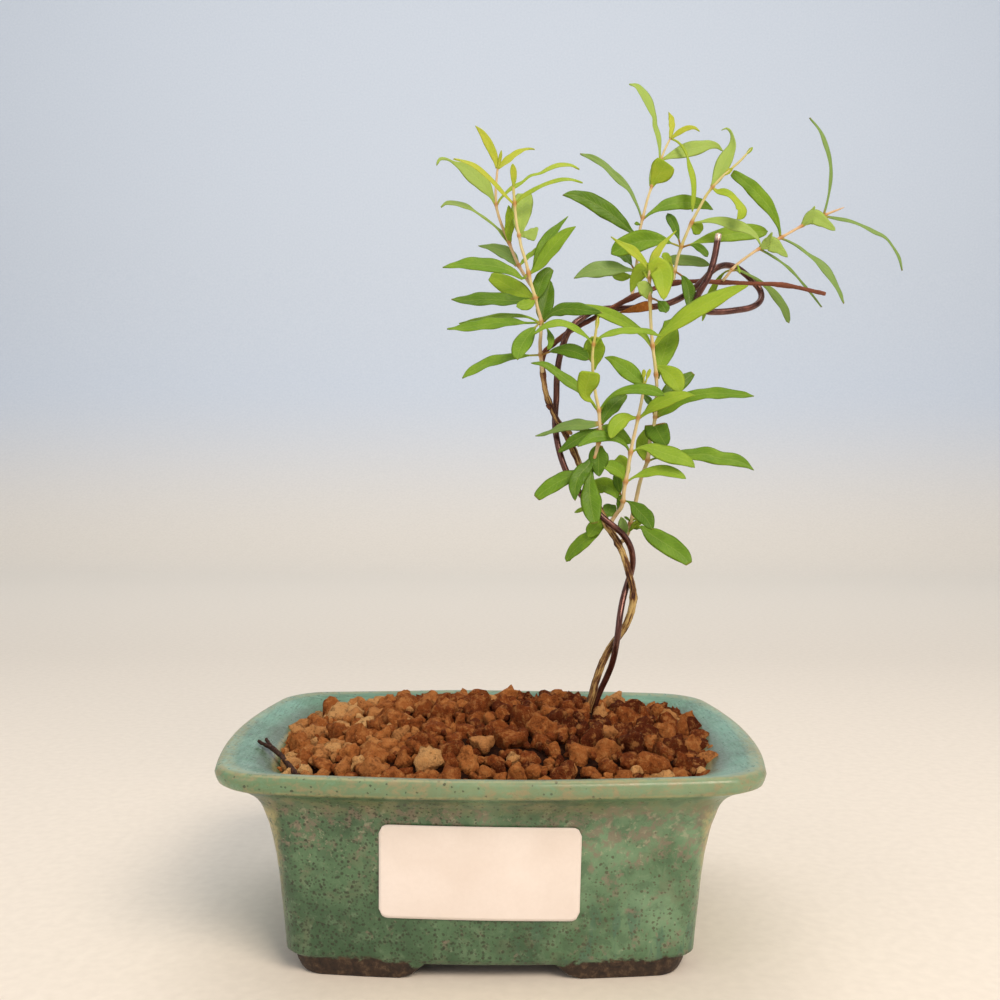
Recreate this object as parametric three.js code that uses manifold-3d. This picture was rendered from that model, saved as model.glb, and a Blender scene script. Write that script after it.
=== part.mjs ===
// A young pomegranate bonsai (Punica granatum) in a green glazed rectangular pot.
// Millimetres, +Z up. The pot stands on z = 0; its front wall faces -Y.
import * as THREE from "three";
import { mergeVertices } from "three/addons/utils/BufferGeometryUtils.js";
import Module from "manifold-3d";

// ---------------------------------------------------------------- driving dimensions
const GAP = 0.3; // clearance between pieces that touch

// Pot. Every level is [z, half width, half depth, rimness] of a rounded rectangle whose sides
// bow outwards. Its corners and bows run from those of the body (rimness 0) to the rim's (1).
const POT_OUTSIDE = [
  [0, 51.2, 43.8, 0],
  [0.8, 52, 44.4, 0],
  [4.6, 53.4, 44.9, 0],
  [5.8, 55.4, 45.3, 0],
  [10, 55.9, 45.5, 0],
  [25, 57, 46.2, 0],
  [36, 58.6, 47, 0],
  [41.5, 60, 47.9, 0],
  [44.5, 61.2, 49, 0.1],
  [46.8, 63.8, 50.8, 0.4],
  [48.8, 68.4, 53.6, 0.8],
  [50.2, 72.2, 56.2, 1],
  [52.8, 73.2, 56.8, 1],
  [54, 72.6, 56.2, 1],
];
const POT_RIM_TOP = [
  [54.4, 71.4, 55.1, 1],
  [53.5, 67.2, 51, 1],
  [51.9, 62.9, 47.1, 1],
];
const POT_INSIDE = [
  [50.6, 60.8, 45.4, 0.9],
  [49, 58.6, 43.9, 0.6],
  [45, 55.5, 42, 0.4],
  [38, 53.2, 41, 0.2],
  [12, 50, 38.8, 0],
  [10, 48, 36.8, 0],
];
const POT_CORNER = { body: 5, rim: 10 }; // corner radius in plan
const SIDE_BOW = { body: 4.1, rim: 6.2 }; // how far a short side's middle stands out
const FRONT_BOW = { body: 3.4, rim: 5.8 }; // the same for a long side
const POT_FLOOR = POT_INSIDE[POT_INSIDE.length - 1][0];
const FOOT_ARCH = { height: 3.9, front: 21, side: 19, taper: 4 }; // gaps between the four feet
const DRAIN_HOLE = { x: 26, radius: 6 };
const SCREEN = { size: 22, thickness: 1, openings: 4, bar: 1.2 };

const SOIL_EDGE = 49; // level of the granules along the wall
const SOIL_CROWN = 9.5; // how much higher the heap is in the middle
const SOIL_TILT = 2.6; // the back lies this much higher than the middle, the front lower
const SOIL_LUMP = 1.1; // height of the lumps on the heap

const LABEL = { x: -2.6, top: 40.8, width: 50, height: 24.4, corner: 2.3, thickness: 0.3 };

const TRUNK_SIDES = 8;
const WIRE = { radius: 0.95, sides: 8, steps: 100 };
const STEM_SIDES = 6;
const SHEATH = { wall: 0.55, height: 1.3 }; // the ring from which the leaves of one joint grow
const BLADE_THICKNESS = 0.7;
const PETIOLE_HALF_WIDTH = 0.35;

// ---------------------------------------------------------------- layout of the tree
// The tree is laid out as it looks from a viewpoint in front of the pot. A place is
// [x, z, depth]: x and z on the upright plane y = LAYOUT_PLANE, and depth is how far the
// point then slides away from the viewpoint along its sight line (negative is nearer).
const VIEWPOINT = new THREE.Vector3(2, -307, 125);
const LAYOUT_PLANE = 20;

// The trunk as [x, z, depth, radius], from its foot in the soil to its pruned end.
const TRUNK = [
  [27.4, 44, -3.5, 1.9],
  [28.3, 50, -3.5, 1.6],
  [29.2, 56, -3.5, 1.35],
  [30.5, 60, -3.5, 1.2],
  [31.6, 64.5, -3.5, 1.15],
  [33.3, 69.5, -3.5, 1.15],
  [36, 75, -3.5, 1.1],
  [39.6, 80, -3.7, 1.1],
  [41.6, 84.5, -3.8, 1.1],
  [42.6, 89, -4, 1.1],
  [42.4, 93, -4.2, 1.05],
  [41.3, 97, -4.4, 1.05],
  [40.2, 101, -4.5, 1],
  [38.8, 104.5, -4.7, 1],
  [37, 108, -4.9, 1],
  [34.5, 112, -5, 1],
  [32, 117, -4.9, 1],
  [29.3, 123.4, -4.6, 1],
  [26.8, 127.9, -4.2, 0.95],
  [24.2, 134, -3.5, 0.95],
  [21.2, 140, -2.8, 0.9],
  [18.7, 144, -2.4, 0.9],
  [17.2, 147.3, -2, 0.85],
  [15.6, 151.3, -1.5, 0.85],
  [14.7, 156.7, -0.6, 0.8],
  [14.4, 161, -0.2, 0.8],
  [15.2, 163.8, 0, 0.8],
  [17.8, 166.2, 0.2, 0.8],
  [22.2, 169.6, 0.5, 0.78],
  [28.5, 173, 1, 0.75],
  [34.6, 176.4, 1.5, 0.75],
  [40.8, 179.7, 2, 0.7],
  [51, 183.6, 2.6, 0.68],
  [59.5, 184.6, 3, 0.65],
  [66.5, 184.4, 3.2, 0.65],
  [74.8, 184.1, 3.4, 0.62],
  [86, 183.6, 3, 0.6],
  [98.5, 181.1, 1.5, 0.6],
];
const TRUNK_STUB = [
  [20.6, 140.6, -3, 0.7],
  [22.6, 140, -4.6, 0.55],
  [23.4, 139.4, -5.2, 0.5],
];

// The training wire, from its anchored end in the soil, round the trunk, to its free end.
const WIRE_ROUTE = [
  [30.6, 42, -0.6],
  [30.7, 50, -0.8],
  [31.4, 57, -1.2],
  [33, 61.5, -1.8],
  [34.6, 65, -2.6],
  [36.2, 69, -4],
  [37, 72, -5.3],
  [37.7, 76, -6.3],
  [38.2, 80, -6.6],
  [38.6, 84, -5.9],
  [39.2, 88, -4.2],
  [40, 91.6, -2.3],
  [41, 95, -1.3],
  [41.9, 98, -1.5],
  [42.3, 101, -2.6],
  [41.9, 104.3, -4.2],
  [40.8, 107, -6],
  [38.9, 109.6, -7.6],
  [36.4, 111.7, -8.3],
  [33.4, 114, -8.3],
  [30.4, 117, -7.9],
  [28, 119.4, -7.1],
  [25.4, 122.6, -5.8],
  [22.6, 126.8, -4.6],
  [20.3, 132.4, -3.2],
  [18.9, 138.2, -1.2],
  [18.4, 142, 0.3],
  [18.4, 145.6, 1],
  [18.7, 149.8, 0.2],
  [18.8, 155.6, -0.6],
  [19.4, 161.3, -1.6],
  [20.7, 166.2, -2.4],
  [22, 169.4, -2.6],
  [24.1, 172.2, -2.2],
  [26.3, 173.8, -1],
  [28.5, 175.3, 0.9],
  [31, 176.1, 3],
  [33.5, 176.5, 4.1],
  [36.2, 176.6, 4.4],
  [39.6, 176.6, 3.8],
  [43.5, 176.9, 2.6],
  [47.4, 177.1, 1.4],
  [51.5, 178, 0.4],
  [55.2, 179.6, -0.1],
  [59, 182.2, -0.4],
  [62, 184.9, -0.4],
  [64.2, 187.3, 1],
  [66.4, 188.8, 2.9],
  [69, 189.3, 5.3],
  [71.8, 188.6, 7],
  [74.7, 186.6, 8],
  [77.1, 184.3, 8.4],
  [78.9, 182.2, 8.2],
  [79.4, 180.2, 7],
  [78.6, 178.4, 4.8],
  [76.2, 177, 2.6],
  [72, 176.2, 0.6],
  [67, 175.7, -1.2],
  [63.2, 175.9, -2.6],
  [60.7, 177.4, -3.6],
  [60.2, 179.6, -4.2],
  [61.4, 182.2, -4.5],
  [63.2, 185.3, -4.5],
  [64.4, 188.5, -4.2],
  [65.3, 192, -3.8],
  [66.3, 198.4, -3.2],
];

// The shoots. "stem" holds places from the joint to the tip, "radius" is at both ends.
// "joints" are the places on the stem, as [x, z], from which leaves grow. A leaf is
// [x, z of its middle, x, z of its tip, depth of the tip beyond its joint, width, turn]:
// turn is how many degrees the upper face is turned from the viewpoint to the sky.
const SHOOTS = {
  a1: {
    radius: [0.55, 0.4],
    stem: [
      [11.5, 182.2, -4.7], [8.6, 186.6, -2.5], [6.4, 190.5, -1.4], [4.3, 195.6, -0.5],
      [1.6, 202, 0.5], [0.4, 206.6, 1], [0.3, 211, 1.2], [0.5, 214, 1.3], [0.9, 217.8, 1.4],
    ],
    joints: [
      { at: [0.8, 217], leaves: [
        [-2.2, 224.2, -5.8, 229.2, -2, 2.4, 15], [5.6, 221.2, 11.6, 222.5, 3, 2, 40],
      ] },
      { at: [0.4, 206.6], leaves: [
        [-7.2, 216.6, -17.2, 218.2, -4, 4, 25], [12, 215.6, 24.8, 216.9, 5, 3.2, 70],
      ] },
      { at: [4.3, 195.6], leaves: [
        [-4.6, 204.4, -15.8, 206.2, 6, 3.4, 62], [3.6, 201, 4.2, 206.4, -6, 2.8, 20],
      ] },
      { at: [7.2, 189], leaves: [
        [1.2, 192.3, -4.7, 194.6, 9, 3.4, 20], [11.6, 192.4, 14.9, 194.9, 5, 2.4, 62],
      ] },
    ],
  },
  a2: {
    radius: [0.75, 0.45],
    stem: [
      [14.5, 157.6, -1.2], [14.2, 160, -2.4], [13.9, 163, -3.4], [13.7, 166, -3.8],
      [13.9, 169, -4], [13.9, 173, -4.2], [12.9, 176.5, -4.4], [12.2, 179.4, -4.6],
      [10.8, 184, -5], [9.3, 190, -5.4], [7.9, 194.5, -5.8], [7.3, 197.5, -6],
      [6.5, 201, -6.2], [5.9, 206.5, -6.6], [5.5, 211.5, -6.8], [5.3, 218, -7],
    ],
    joints: [
      { at: [5.9, 206.9], leaves: [
        [-3.2, 216.2, -12, 219.6, -3, 3, 68], [14, 212.4, 25.8, 213.1, -5, 3, 66],
      ] },
      { at: [7.3, 197.6], leaves: [
        [8.4, 204, 9.2, 209.9, 7, 4.8, 10], [10, 198, 12.4, 198.3, -6, 3.4, 35],
      ] },
      { at: [10.2, 186.6], leaves: [
        [-2.2, 189.6, -15.4, 188.3, -4, 4.2, 35], [15, 193.8, 21.6, 203.2, 6, 3.8, 20],
        [17.2, 193.5, 23.9, 200.2, -3, 4.4, 25],
      ] },
      { at: [12.2, 179.4], leaves: [
        [5.2, 183.2, -1.5, 186, 8, 5.2, 10], [14.6, 183.8, 17.4, 188, 5, 4.8, 10],
        [9.4, 177.8, 6.6, 176.2, -9, 4, 20], [-1.5, 179.2, -12.7, 179, -1, 4.2, 35],
      ] },
      { at: [13.9, 172.4], leaves: [
        [5, 174.9, -5, 173.4, 6, 3, 45], [0.5, 172.4, -14, 170.3, -3, 3.6, 40],
        [23, 177, 31.8, 175.6, -10, 4.6, 25], [16, 176.8, 17.4, 181.6, 10, 4.6, 5],
        [8.8, 166.6, 7, 161.4, -9, 5, 10], [16.6, 168.6, 16, 164.4, -6, 2.2, 20],
      ] },
      { at: [13.9, 162.8], leaves: [
        [0.5, 161, -9.5, 155.8, -4, 3.6, 35], [21.5, 164.3, 28.4, 161.5, -8, 4.2, 25],
      ] },
    ],
  },
  b: {
    radius: [0.65, 0.4],
    stem: [
      [40.8, 179.9, 2.4], [41.4, 183, 3.2], [42, 188, 3.6], [42.5, 193, 4], [43, 199.5, 4.2],
      [43.8, 203, 4.2], [45, 208, 4.4], [46.2, 211.8, 4.6], [47.5, 216, 4.8],
      [48.9, 219.8, 5], [50.3, 223.4, 5.3], [51.9, 226.4, 5.6],
    ],
    joints: [
      { at: [51.6, 225.8], leaves: [
        [51.5, 229.6, 50.8, 233.1, 2, 2, 20], [56.4, 229.1, 60, 228.1, -3, 2.2, 30],
        [57.6, 218.6, 58.5, 204.6, -4, 2.6, 35],
      ] },
      { at: [48.9, 219.8], leaves: [
        [46.2, 231, 39.1, 241.2, 4, 3, 50], [58, 222.8, 66.4, 222.6, 6, 4.8, 20],
      ] },
      { at: [46.3, 211.9], leaves: [
        [47.8, 217.8, 50.2, 223.5, 10, 4.4, 10], [50.4, 214.6, 53.6, 216.4, -6, 4.4, 10],
      ] },
      { at: [43.8, 202.8], leaves: [
        [36.6, 213.6, 25, 221.3, 3, 3.4, 35], [54, 206.9, 64.4, 205.7, 4, 4.2, 25],
      ] },
      { at: [42.9, 197.8], leaves: [
        [32.8, 205, 20, 209.5, -3, 5.2, 20],
      ] },
      { at: [42, 187.6], leaves: [
        [31.5, 189.3, 23.6, 185.5, -2, 4.8, 25], [39, 191.4, 35.4, 194.4, 8, 3.6, 20],
        [39.6, 185.8, 35, 186.2, 6, 2.8, 20], [53, 190.6, 64, 189.4, 5, 3.4, 25],
      ] },
    ],
  },
  c: {
    radius: [0.65, 0.4],
    stem: [
      [53.2, 184.8, 2.2], [53.4, 187, 1.8], [53.9, 189.5, 1.2], [54.4, 191.8, 0.8],
      [55.2, 194.2, 0.3], [56.2, 197, -0.2], [58.3, 201.8, -1], [60.5, 206, -2],
      [62.6, 209.8, -2.6], [64.3, 212, -3], [67, 214.9, -3.6], [70, 217.5, -4.2],
      [72.5, 219.8, -4.4], [75.5, 223.2, -4.6],
    ],
    joints: [
      { at: [64.2, 211.9], leaves: [
        [68.2, 221, 66.6, 228.4, 3, 4.6, 15], [70, 210.2, 71.6, 203.2, -5, 3, 35],
      ] },
      { at: [58.3, 201.7], leaves: [
        [70, 202.6, 78.8, 195.2, -4, 3.8, 30], [59.6, 199.8, 60.9, 199.2, 6, 3.2, 10],
      ] },
      { at: [55.3, 194.6], leaves: [
        [45, 196.4, 34.5, 192.4, 0, 6.4, 20], [68, 198, 80.8, 199.2, 6, 5, 20],
        [59.6, 194.9, 63.2, 191.8, -4, 2.4, 30], [53.4, 200, 51.1, 204.2, 8, 2.8, 10],
      ] },
      { at: [53.6, 187.4], leaves: [
        [51.8, 190.9, 49.6, 191.8, -4, 2.6, 30], [57.1, 183.9, 58, 177, -6, 3.8, 5],
      ] },
    ],
  },
  d: {
    radius: [0.6, 0.45],
    stem: [
      [67.8, 184.8, 1.8], [69, 186.2, 1], [70.4, 188, 0.4], [72, 189.6, 0.2],
      [75, 191.9, 0.8], [77.8, 193.8, 1.5], [84.7, 197.4, 3.5], [91, 200.9, 5.5],
      [97.3, 203.9, 7.5], [103.3, 206.3, 9],
    ],
    joints: [
      { at: [97.3, 203.9], leaves: [
        [98.9, 217.5, 92.3, 231.9, 3, 2.8, 68], [111.5, 199.6, 120.9, 188.1, -3, 2.8, 62],
      ] },
      { at: [91, 200.9], leaves: [
        [93.2, 203.6, 94.6, 206.4, -7, 4.4, 15], [96.6, 201.8, 101.2, 200.3, -7, 3, 20],
      ] },
      { at: [84.7, 197.4], leaves: [
        [80.8, 208.6, 69.8, 216, -3, 4.8, 20], [96, 191, 104.2, 178.3, -3, 3.6, 45],
      ] },
      { at: [78.6, 194.1], leaves: [
        [80.8, 196.4, 82.6, 199.3, -7, 4.2, 15], [83.8, 193.8, 87.4, 192.8, -7, 3, 15],
        [88.5, 188.2, 97.3, 177.2, 6, 2.6, 62],
      ] },
      { at: [70.4, 188], leaves: [
        [66.2, 184.4, 62, 173, 11, 2.6, 30], [80.4, 183.2, 87.9, 172.3, 11.8, 3.2, 25],
      ] },
    ],
  },
  e: {
    radius: [0.8, 0.4],
    stem: [
      [38.2, 106.6, -3.9], [39.8, 108, -2.6], [41, 110.6, -2.5], [42, 115, -3],
      [43, 119.5, -3.4], [44, 124.5, -3.8], [45.2, 128.5, -4.2], [46.3, 131.5, -4.5],
      [47, 137.5, -5], [48.2, 143, -5.5], [48.5, 147, -5.8], [48.7, 154, -6.4],
      [48.1, 160, -7], [47.3, 165.5, -7.6], [46.7, 172, -8.2], [46.3, 179.6, -9],
      [46, 186.5, -9.6], [45.9, 188.6, -9.8],
    ],
    joints: [
      { at: [45.9, 188], leaves: [
        [40.4, 194, 34.3, 197.6, -2, 2.8, 30], [49.2, 193.6, 53.6, 199.2, 2, 2.8, 35],
      ] },
      { at: [46.1, 185.4], leaves: [
        [42.2, 187, 40.4, 181.7, 5, 4.4, 10], [50.6, 187, 50.6, 179.3, -4, 5.6, 5],
      ] },
      { at: [46.3, 179.6], leaves: [
        [44.2, 182.4, 42.6, 184, 1, 3, 20], [49.4, 178.2, 51.2, 175.4, -3, 3.2, 10],
      ] },
      { at: [47.3, 165.6], leaves: [
        [38.4, 173.6, 27, 177.6, 8, 4.6, 30], [63.5, 178.2, 75.2, 183.4, -5, 5.4, 30],
      ] },
      { at: [48.6, 157.2], leaves: [
        [52.2, 164, 52.2, 172.8, 8, 6.2, 5], [53.4, 157.2, 55.8, 152.8, -4, 5.4, 10],
      ] },
      { at: [48.4, 144.6], leaves: [
        [62, 150.9, 77.6, 151.4, -4, 4.2, 25], [54.6, 150.6, 59.3, 157.9, 6, 4.2, 10],
        [46.8, 148.6, 44.8, 151.2, 6, 2, 20], [50, 141.6, 52.8, 137.4, -9, 6, 0],
      ] },
      { at: [46.3, 131.5], leaves: [
        [61, 133.6, 78.3, 128.8, -3, 4.8, 20], [43.4, 135.6, 44.9, 141, 8, 4.6, 10],
      ] },
      { at: [41.5, 112.6], leaves: [
        [51, 107.6, 59.4, 100.6, -7, 6, 20], [43.4, 112.6, 45, 112.9, -4, 1.6, 20],
      ] },
    ],
  },
  f: {
    radius: [0.75, 0.45],
    stem: [
      [34.9, 111.6, -4.6], [36.2, 114, -4], [37.4, 115.8, -4.6], [38.6, 117.4, -5.6],
      [39.1, 119.3, -6.4], [39.3, 122, -7.2], [39.8, 125, -7.8], [40.5, 129, -8.4],
      [41.2, 134, -9], [41.8, 137.5, -9.4], [42.5, 140.5, -9.7], [43.3, 144.4, -10],
      [44, 148, -10.3], [44.6, 151.5, -10.6], [45.1, 154.8, -10.9],
    ],
    joints: [
      { at: [45, 154.2], leaves: [
        [44.8, 156.8, 44.8, 158.7, -1, 1.2, 10], [46, 156.8, 46.7, 158.8, 1, 1.2, 10],
        [40.2, 158.6, 33.2, 162.3, 3, 5.4, 15],
      ] },
      { at: [43.3, 144.4], leaves: [
        [38.6, 144, 34.8, 138.6, -4, 5.8, 10], [51.6, 149.6, 60, 151.2, -4, 4.6, 25],
      ] },
      { at: [41.2, 134.1], leaves: [
        [30.5, 138.9, 19.5, 134.2, -6, 4.8, 25], [51.4, 134.2, 60.8, 129.9, -3, 5.6, 25],
      ] },
      { at: [40.2, 127], leaves: [
        [37.4, 130.6, 34.5, 133, 6, 4.2, 10], [36, 128.2, 32.6, 129.4, -2, 4.4, 20],
        [49, 128.4, 57.9, 126.3, -3, 4, 30],
      ] },
      { at: [39.1, 119.4], leaves: [
        [45.4, 117, 48.8, 111.2, -6, 5.6, 10], [35.4, 123.6, 30.4, 125, 5, 4.4, 20],
        [37.6, 124.2, 37, 127.8, 5, 2.8, 10],
      ] },
    ],
  },
  g: {
    radius: [0.65, 0.4],
    stem: [
      [28.3, 124.6, -4.8], [29, 127, -7.2], [29.7, 129.8, -8.2], [30.2, 132, -8.6],
      [31.2, 135.5, -9], [31.9, 140, -9.4], [31.7, 144, -9.7], [31.4, 147, -10],
      [30.5, 151, -10.4], [29.9, 154.5, -10.7], [29.5, 159, -11], [29.4, 163, -11.3],
      [29.7, 166.2, -11.6], [30.2, 169, -11.8], [30.8, 174, -12],
    ],
    joints: [
      { at: [29.7, 166], leaves: [
        [20, 172.4, 11.9, 169, 2, 2.8, 55], [39.6, 169.8, 50.2, 168.5, -2, 3.2, 45],
        [30, 163, 30, 158.2, 9, 6.4, 0],
      ] },
      { at: [31.4, 146.4], leaves: [
        [41, 152.8, 51.6, 151.8, -7, 3.6, 35], [21, 157, 10.8, 159, 0, 2.8, 25],
        [26.6, 153.4, 27, 158.8, -7, 6, 10], [35.6, 147, 39.9, 150.8, 3, 4.6, 15],
        [25, 143.2, 16.3, 140.8, 15, 3.6, 25],
      ] },
      { at: [31.6, 137], leaves: [
        [28.6, 136.6, 25.5, 135.9, 3, 2.2, 20], [36.8, 139.6, 41.2, 137.2, 5, 3.4, 20],
      ] },
      { at: [30.3, 132.4], leaves: [
        [26.6, 126, 24.3, 119.4, -7, 5.2, 5], [31.8, 131.4, 32.8, 135.9, -9, 5.8, 0],
      ] },
      { at: [29.7, 129.8], leaves: [
        [20, 125, 12.8, 120.3, -3, 4.6, 25], [29.8, 119.6, 30.6, 113.2, -10, 6, 5],
      ] },
    ],
  },
};
// Leaves that grow straight from the trunk, where the first shoots leave it.
const TRUNK_JOINT = { at: [33, 115.2], leaves: [
  [27.6, 107.2, 22.1, 101.2, 3, 4.4, 20], [34.8, 116.6, 37, 118.4, 8, 3.8, 10],
  [29, 117, 24.5, 115.8, 6, 1.4, 20],
] };

// A forked dry twig that leans from the soil over the inner edge of the rim.
const TWIG = [
  [[-47.4, -36.2, 47.2, 0.9], [-52.6, -28.4, 50, 0.85], [-57.9, -20.4, 52.2, 0.75],
    [-64.2, -14.6, 53.7, 0.5]],
  [[-57.9, -20.4, 52.2, 0.7], [-60.8, -15.6, 53, 0.6], [-62.8, -11, 53.5, 0.5]],
];

// ---------------------------------------------------------------- colours
const paint = (color, roughness, metalness = 0) =>
  new THREE.MeshStandardMaterial({ color, roughness, metalness });
const GLAZE = paint(0x5f8f70, 0.35);
const GRANULES = paint(0x8a5a34, 0.95);
const PAPER = paint(0xf3e6dc, 0.6);
const BARK = paint(0x7d6538, 0.8);
const ANODISED_WIRE = paint(0x4a2624, 0.3, 0.9);
const YOUNG_STEM = paint(0xd8b184, 0.6);
const LEAF = paint(0x679a38, 0.5);
const DEAD_WOOD = paint(0x33261f, 0.9);
const MESH_PLASTIC = paint(0x2b2d2b, 0.6);

// ---------------------------------------------------------------- solids
const wasm = await Module();
wasm.setup();

function toSolid(geometry) {
  const bare = geometry.index ? geometry.clone() : geometry;
  bare.deleteAttribute("normal");
  bare.deleteAttribute("uv");
  const merged = mergeVertices(bare, 1e-4);
  return new wasm.Manifold(new wasm.Mesh({
    numProp: 3,
    vertProperties: merged.attributes.position.array,
    triVerts: new Uint32Array(merged.index.array),
  }));
}

function toGeometry(solid) {
  const mesh = solid.getMesh();
  const geometry = new THREE.BufferGeometry();
  geometry.setAttribute("position", new THREE.BufferAttribute(mesh.vertProperties, 3));
  geometry.setIndex(new THREE.BufferAttribute(mesh.triVerts, 1));
  return geometry;
}

const join = (...parts) => toGeometry(parts.map(toSolid).reduce((a, b) => a.add(b)));
const cut = (body, ...tools) =>
  toGeometry(tools.map(toSolid).reduce((left, tool) => left.subtract(tool), toSolid(body)));

// Joins rings of points, all with the same number of points, into one closed skin.
// A ring of one point closes an end to a tip; other ends are closed by a fan.
function loft(rings) {
  const position = [];
  const index = [];
  const starts = rings.map((ring) => {
    const start = position.length / 3;
    ring.forEach((p) => position.push(p.x, p.y, p.z));
    return start;
  });
  const count = Math.max(...rings.map((ring) => ring.length));
  for (let r = 0; r + 1 < rings.length; r++) {
    for (let i = 0; i < count; i++) {
      const j = (i + 1) % count;
      const [a, b] = [starts[r], starts[r + 1]];
      if (rings[r].length > 1 && rings[r + 1].length > 1) {
        index.push(a + i, a + j, b + j, a + i, b + j, b + i);
      } else if (rings[r].length > 1) {
        index.push(a + i, a + j, b);
      } else {
        index.push(a, b + j, b + i);
      }
    }
  }
  const fan = (r, flip) => {
    if (rings[r].length === 1) return;
    const centre = position.length / 3;
    const middle = rings[r].reduce((sum, p) => sum.add(p), new THREE.Vector3());
    middle.divideScalar(rings[r].length);
    position.push(middle.x, middle.y, middle.z);
    for (let i = 0; i < count; i++) {
      const [a, b] = [starts[r] + i, starts[r] + ((i + 1) % count)];
      index.push(centre, ...(flip ? [b, a] : [a, b]));
    }
  };
  fan(0, true);
  fan(rings.length - 1, false);
  const geometry = new THREE.BufferGeometry();
  geometry.setAttribute("position", new THREE.Float32BufferAttribute(position, 3));
  geometry.setIndex(index);
  return geometry;
}

// ---------------------------------------------------------------- places and curves
function fromFront([x, z, depth = 0]) {
  const reach = (LAYOUT_PLANE + depth - VIEWPOINT.y) / (LAYOUT_PLANE - VIEWPOINT.y);
  return new THREE.Vector3(x, LAYOUT_PLANE, z).sub(VIEWPOINT).multiplyScalar(reach).add(VIEWPOINT);
}

// The opposite of fromFront: where a point appears on the layout plane.
function toFront(point) {
  const reach = (LAYOUT_PLANE - VIEWPOINT.y) / (point.y - VIEWPOINT.y);
  const seen = point.clone().sub(VIEWPOINT).multiplyScalar(reach).add(VIEWPOINT);
  return [seen.x, seen.z];
}

const curveThrough = (points) => new THREE.CatmullRomCurve3(points, false, "centripetal");

// A tube through points, whose radius runs evenly through the list of radii.
function taperedTube(points, radii, sides) {
  const curve = curveThrough(points);
  const steps = points.length - 1;
  let side = new THREE.Vector3(0, -1, 0);
  const rings = points.map((centre, s) => {
    const along = curve.getTangent(s / steps);
    side = side.clone().addScaledVector(along, -side.dot(along)).normalize();
    const across = new THREE.Vector3().crossVectors(along, side);
    const position = (s / steps) * (radii.length - 1);
    const low = Math.min(Math.floor(position), radii.length - 2);
    const radius = THREE.MathUtils.lerp(radii[low], radii[low + 1], position - low);
    return Array.from({ length: sides }, (_, i) => {
      const angle = (2 * Math.PI * i) / sides;
      return centre.clone()
        .addScaledVector(side, radius * Math.cos(angle))
        .addScaledVector(across, radius * Math.sin(angle));
    });
  });
  return loft(rings);
}

const spread = (from, to, count) =>
  Array.from({ length: count }, (_, i) => THREE.MathUtils.lerp(from, to, i / (count - 1)));

// ---------------------------------------------------------------- pot
const blend = ({ body, rim }, rimness) => THREE.MathUtils.lerp(body, rim, rimness);

// A rounded rectangle with bowed sides, counter-clockwise from above.
function potOutline([z, halfWidth, halfDepth, rimness]) {
  const sideSteps = 7;
  const cornerSteps = 3;
  const corner = blend(POT_CORNER, rimness);
  const [flatX, flatY] = [halfWidth - corner, halfDepth - corner];
  const points = [];
  const corners = [[1, 1], [-1, 1], [-1, -1], [1, -1]];
  corners.forEach(([sx, sy], c) => {
    for (let i = 0; i <= cornerSteps; i++) {
      const angle = (Math.PI / 2) * (c + i / cornerSteps);
      points.push([
        sx * flatX + corner * Math.cos(angle),
        sy * flatY + corner * Math.sin(angle),
      ]);
    }
    const [nx, ny] = corners[(c + 1) % 4];
    const start = points[points.length - 1];
    const angle = (Math.PI / 2) * (c + 1);
    const end = [
      nx * flatX + corner * Math.cos(angle),
      ny * flatY + corner * Math.sin(angle),
    ];
    for (let i = 1; i < sideSteps; i++) {
      const t = i / sideSteps;
      points.push([start[0] + (end[0] - start[0]) * t, start[1] + (end[1] - start[1]) * t]);
    }
  });
  return points.map(([x, y]) => new THREE.Vector3(
    x * (1 - (blend(SIDE_BOW, rimness) * (y / halfDepth) ** 2) / halfWidth),
    y * (1 - (blend(FRONT_BOW, rimness) * (x / halfWidth) ** 2) / halfDepth),
    z,
  ));
}

function makePot() {
  const levels = [...POT_OUTSIDE, ...POT_RIM_TOP, ...POT_INSIDE];
  const shell = loft(levels.map(potOutline));
  const reach = 130;
  const archAcross = (half) => {
    const shape = new THREE.Shape([
      new THREE.Vector2(-half - 1, -1),
      new THREE.Vector2(half + 1, -1),
      new THREE.Vector2(half - FOOT_ARCH.taper, FOOT_ARCH.height),
      new THREE.Vector2(-half + FOOT_ARCH.taper, FOOT_ARCH.height),
    ]);
    return new THREE.ExtrudeGeometry(shape, { depth: reach, bevelEnabled: false })
      .translate(0, 0, -reach / 2).rotateX(Math.PI / 2);
  };
  const alongY = archAcross(FOOT_ARCH.front);
  const alongX = archAcross(FOOT_ARCH.side).rotateZ(Math.PI / 2);
  const holes = [-DRAIN_HOLE.x, DRAIN_HOLE.x].map((x) =>
    new THREE.CylinderGeometry(DRAIN_HOLE.radius, DRAIN_HOLE.radius, 3 * POT_FLOOR, 20)
      .rotateX(Math.PI / 2).translate(x, 0, POT_FLOOR / 2));
  return cut(shell, alongY, alongX, ...holes);
}

// Half width, half depth and rimness of the inside or outside of the pot at a height.
function potSize(levels, z) {
  const sorted = [...levels].sort((a, b) => a[0] - b[0]);
  const above = Math.max(1, sorted.findIndex((level) => level[0] >= z));
  const [low, high] = [sorted[above - 1], sorted[above]];
  const t = (z - low[0]) / (high[0] - low[0]);
  return [1, 2, 3].map((k) => THREE.MathUtils.lerp(low[k], high[k], t));
}

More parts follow.
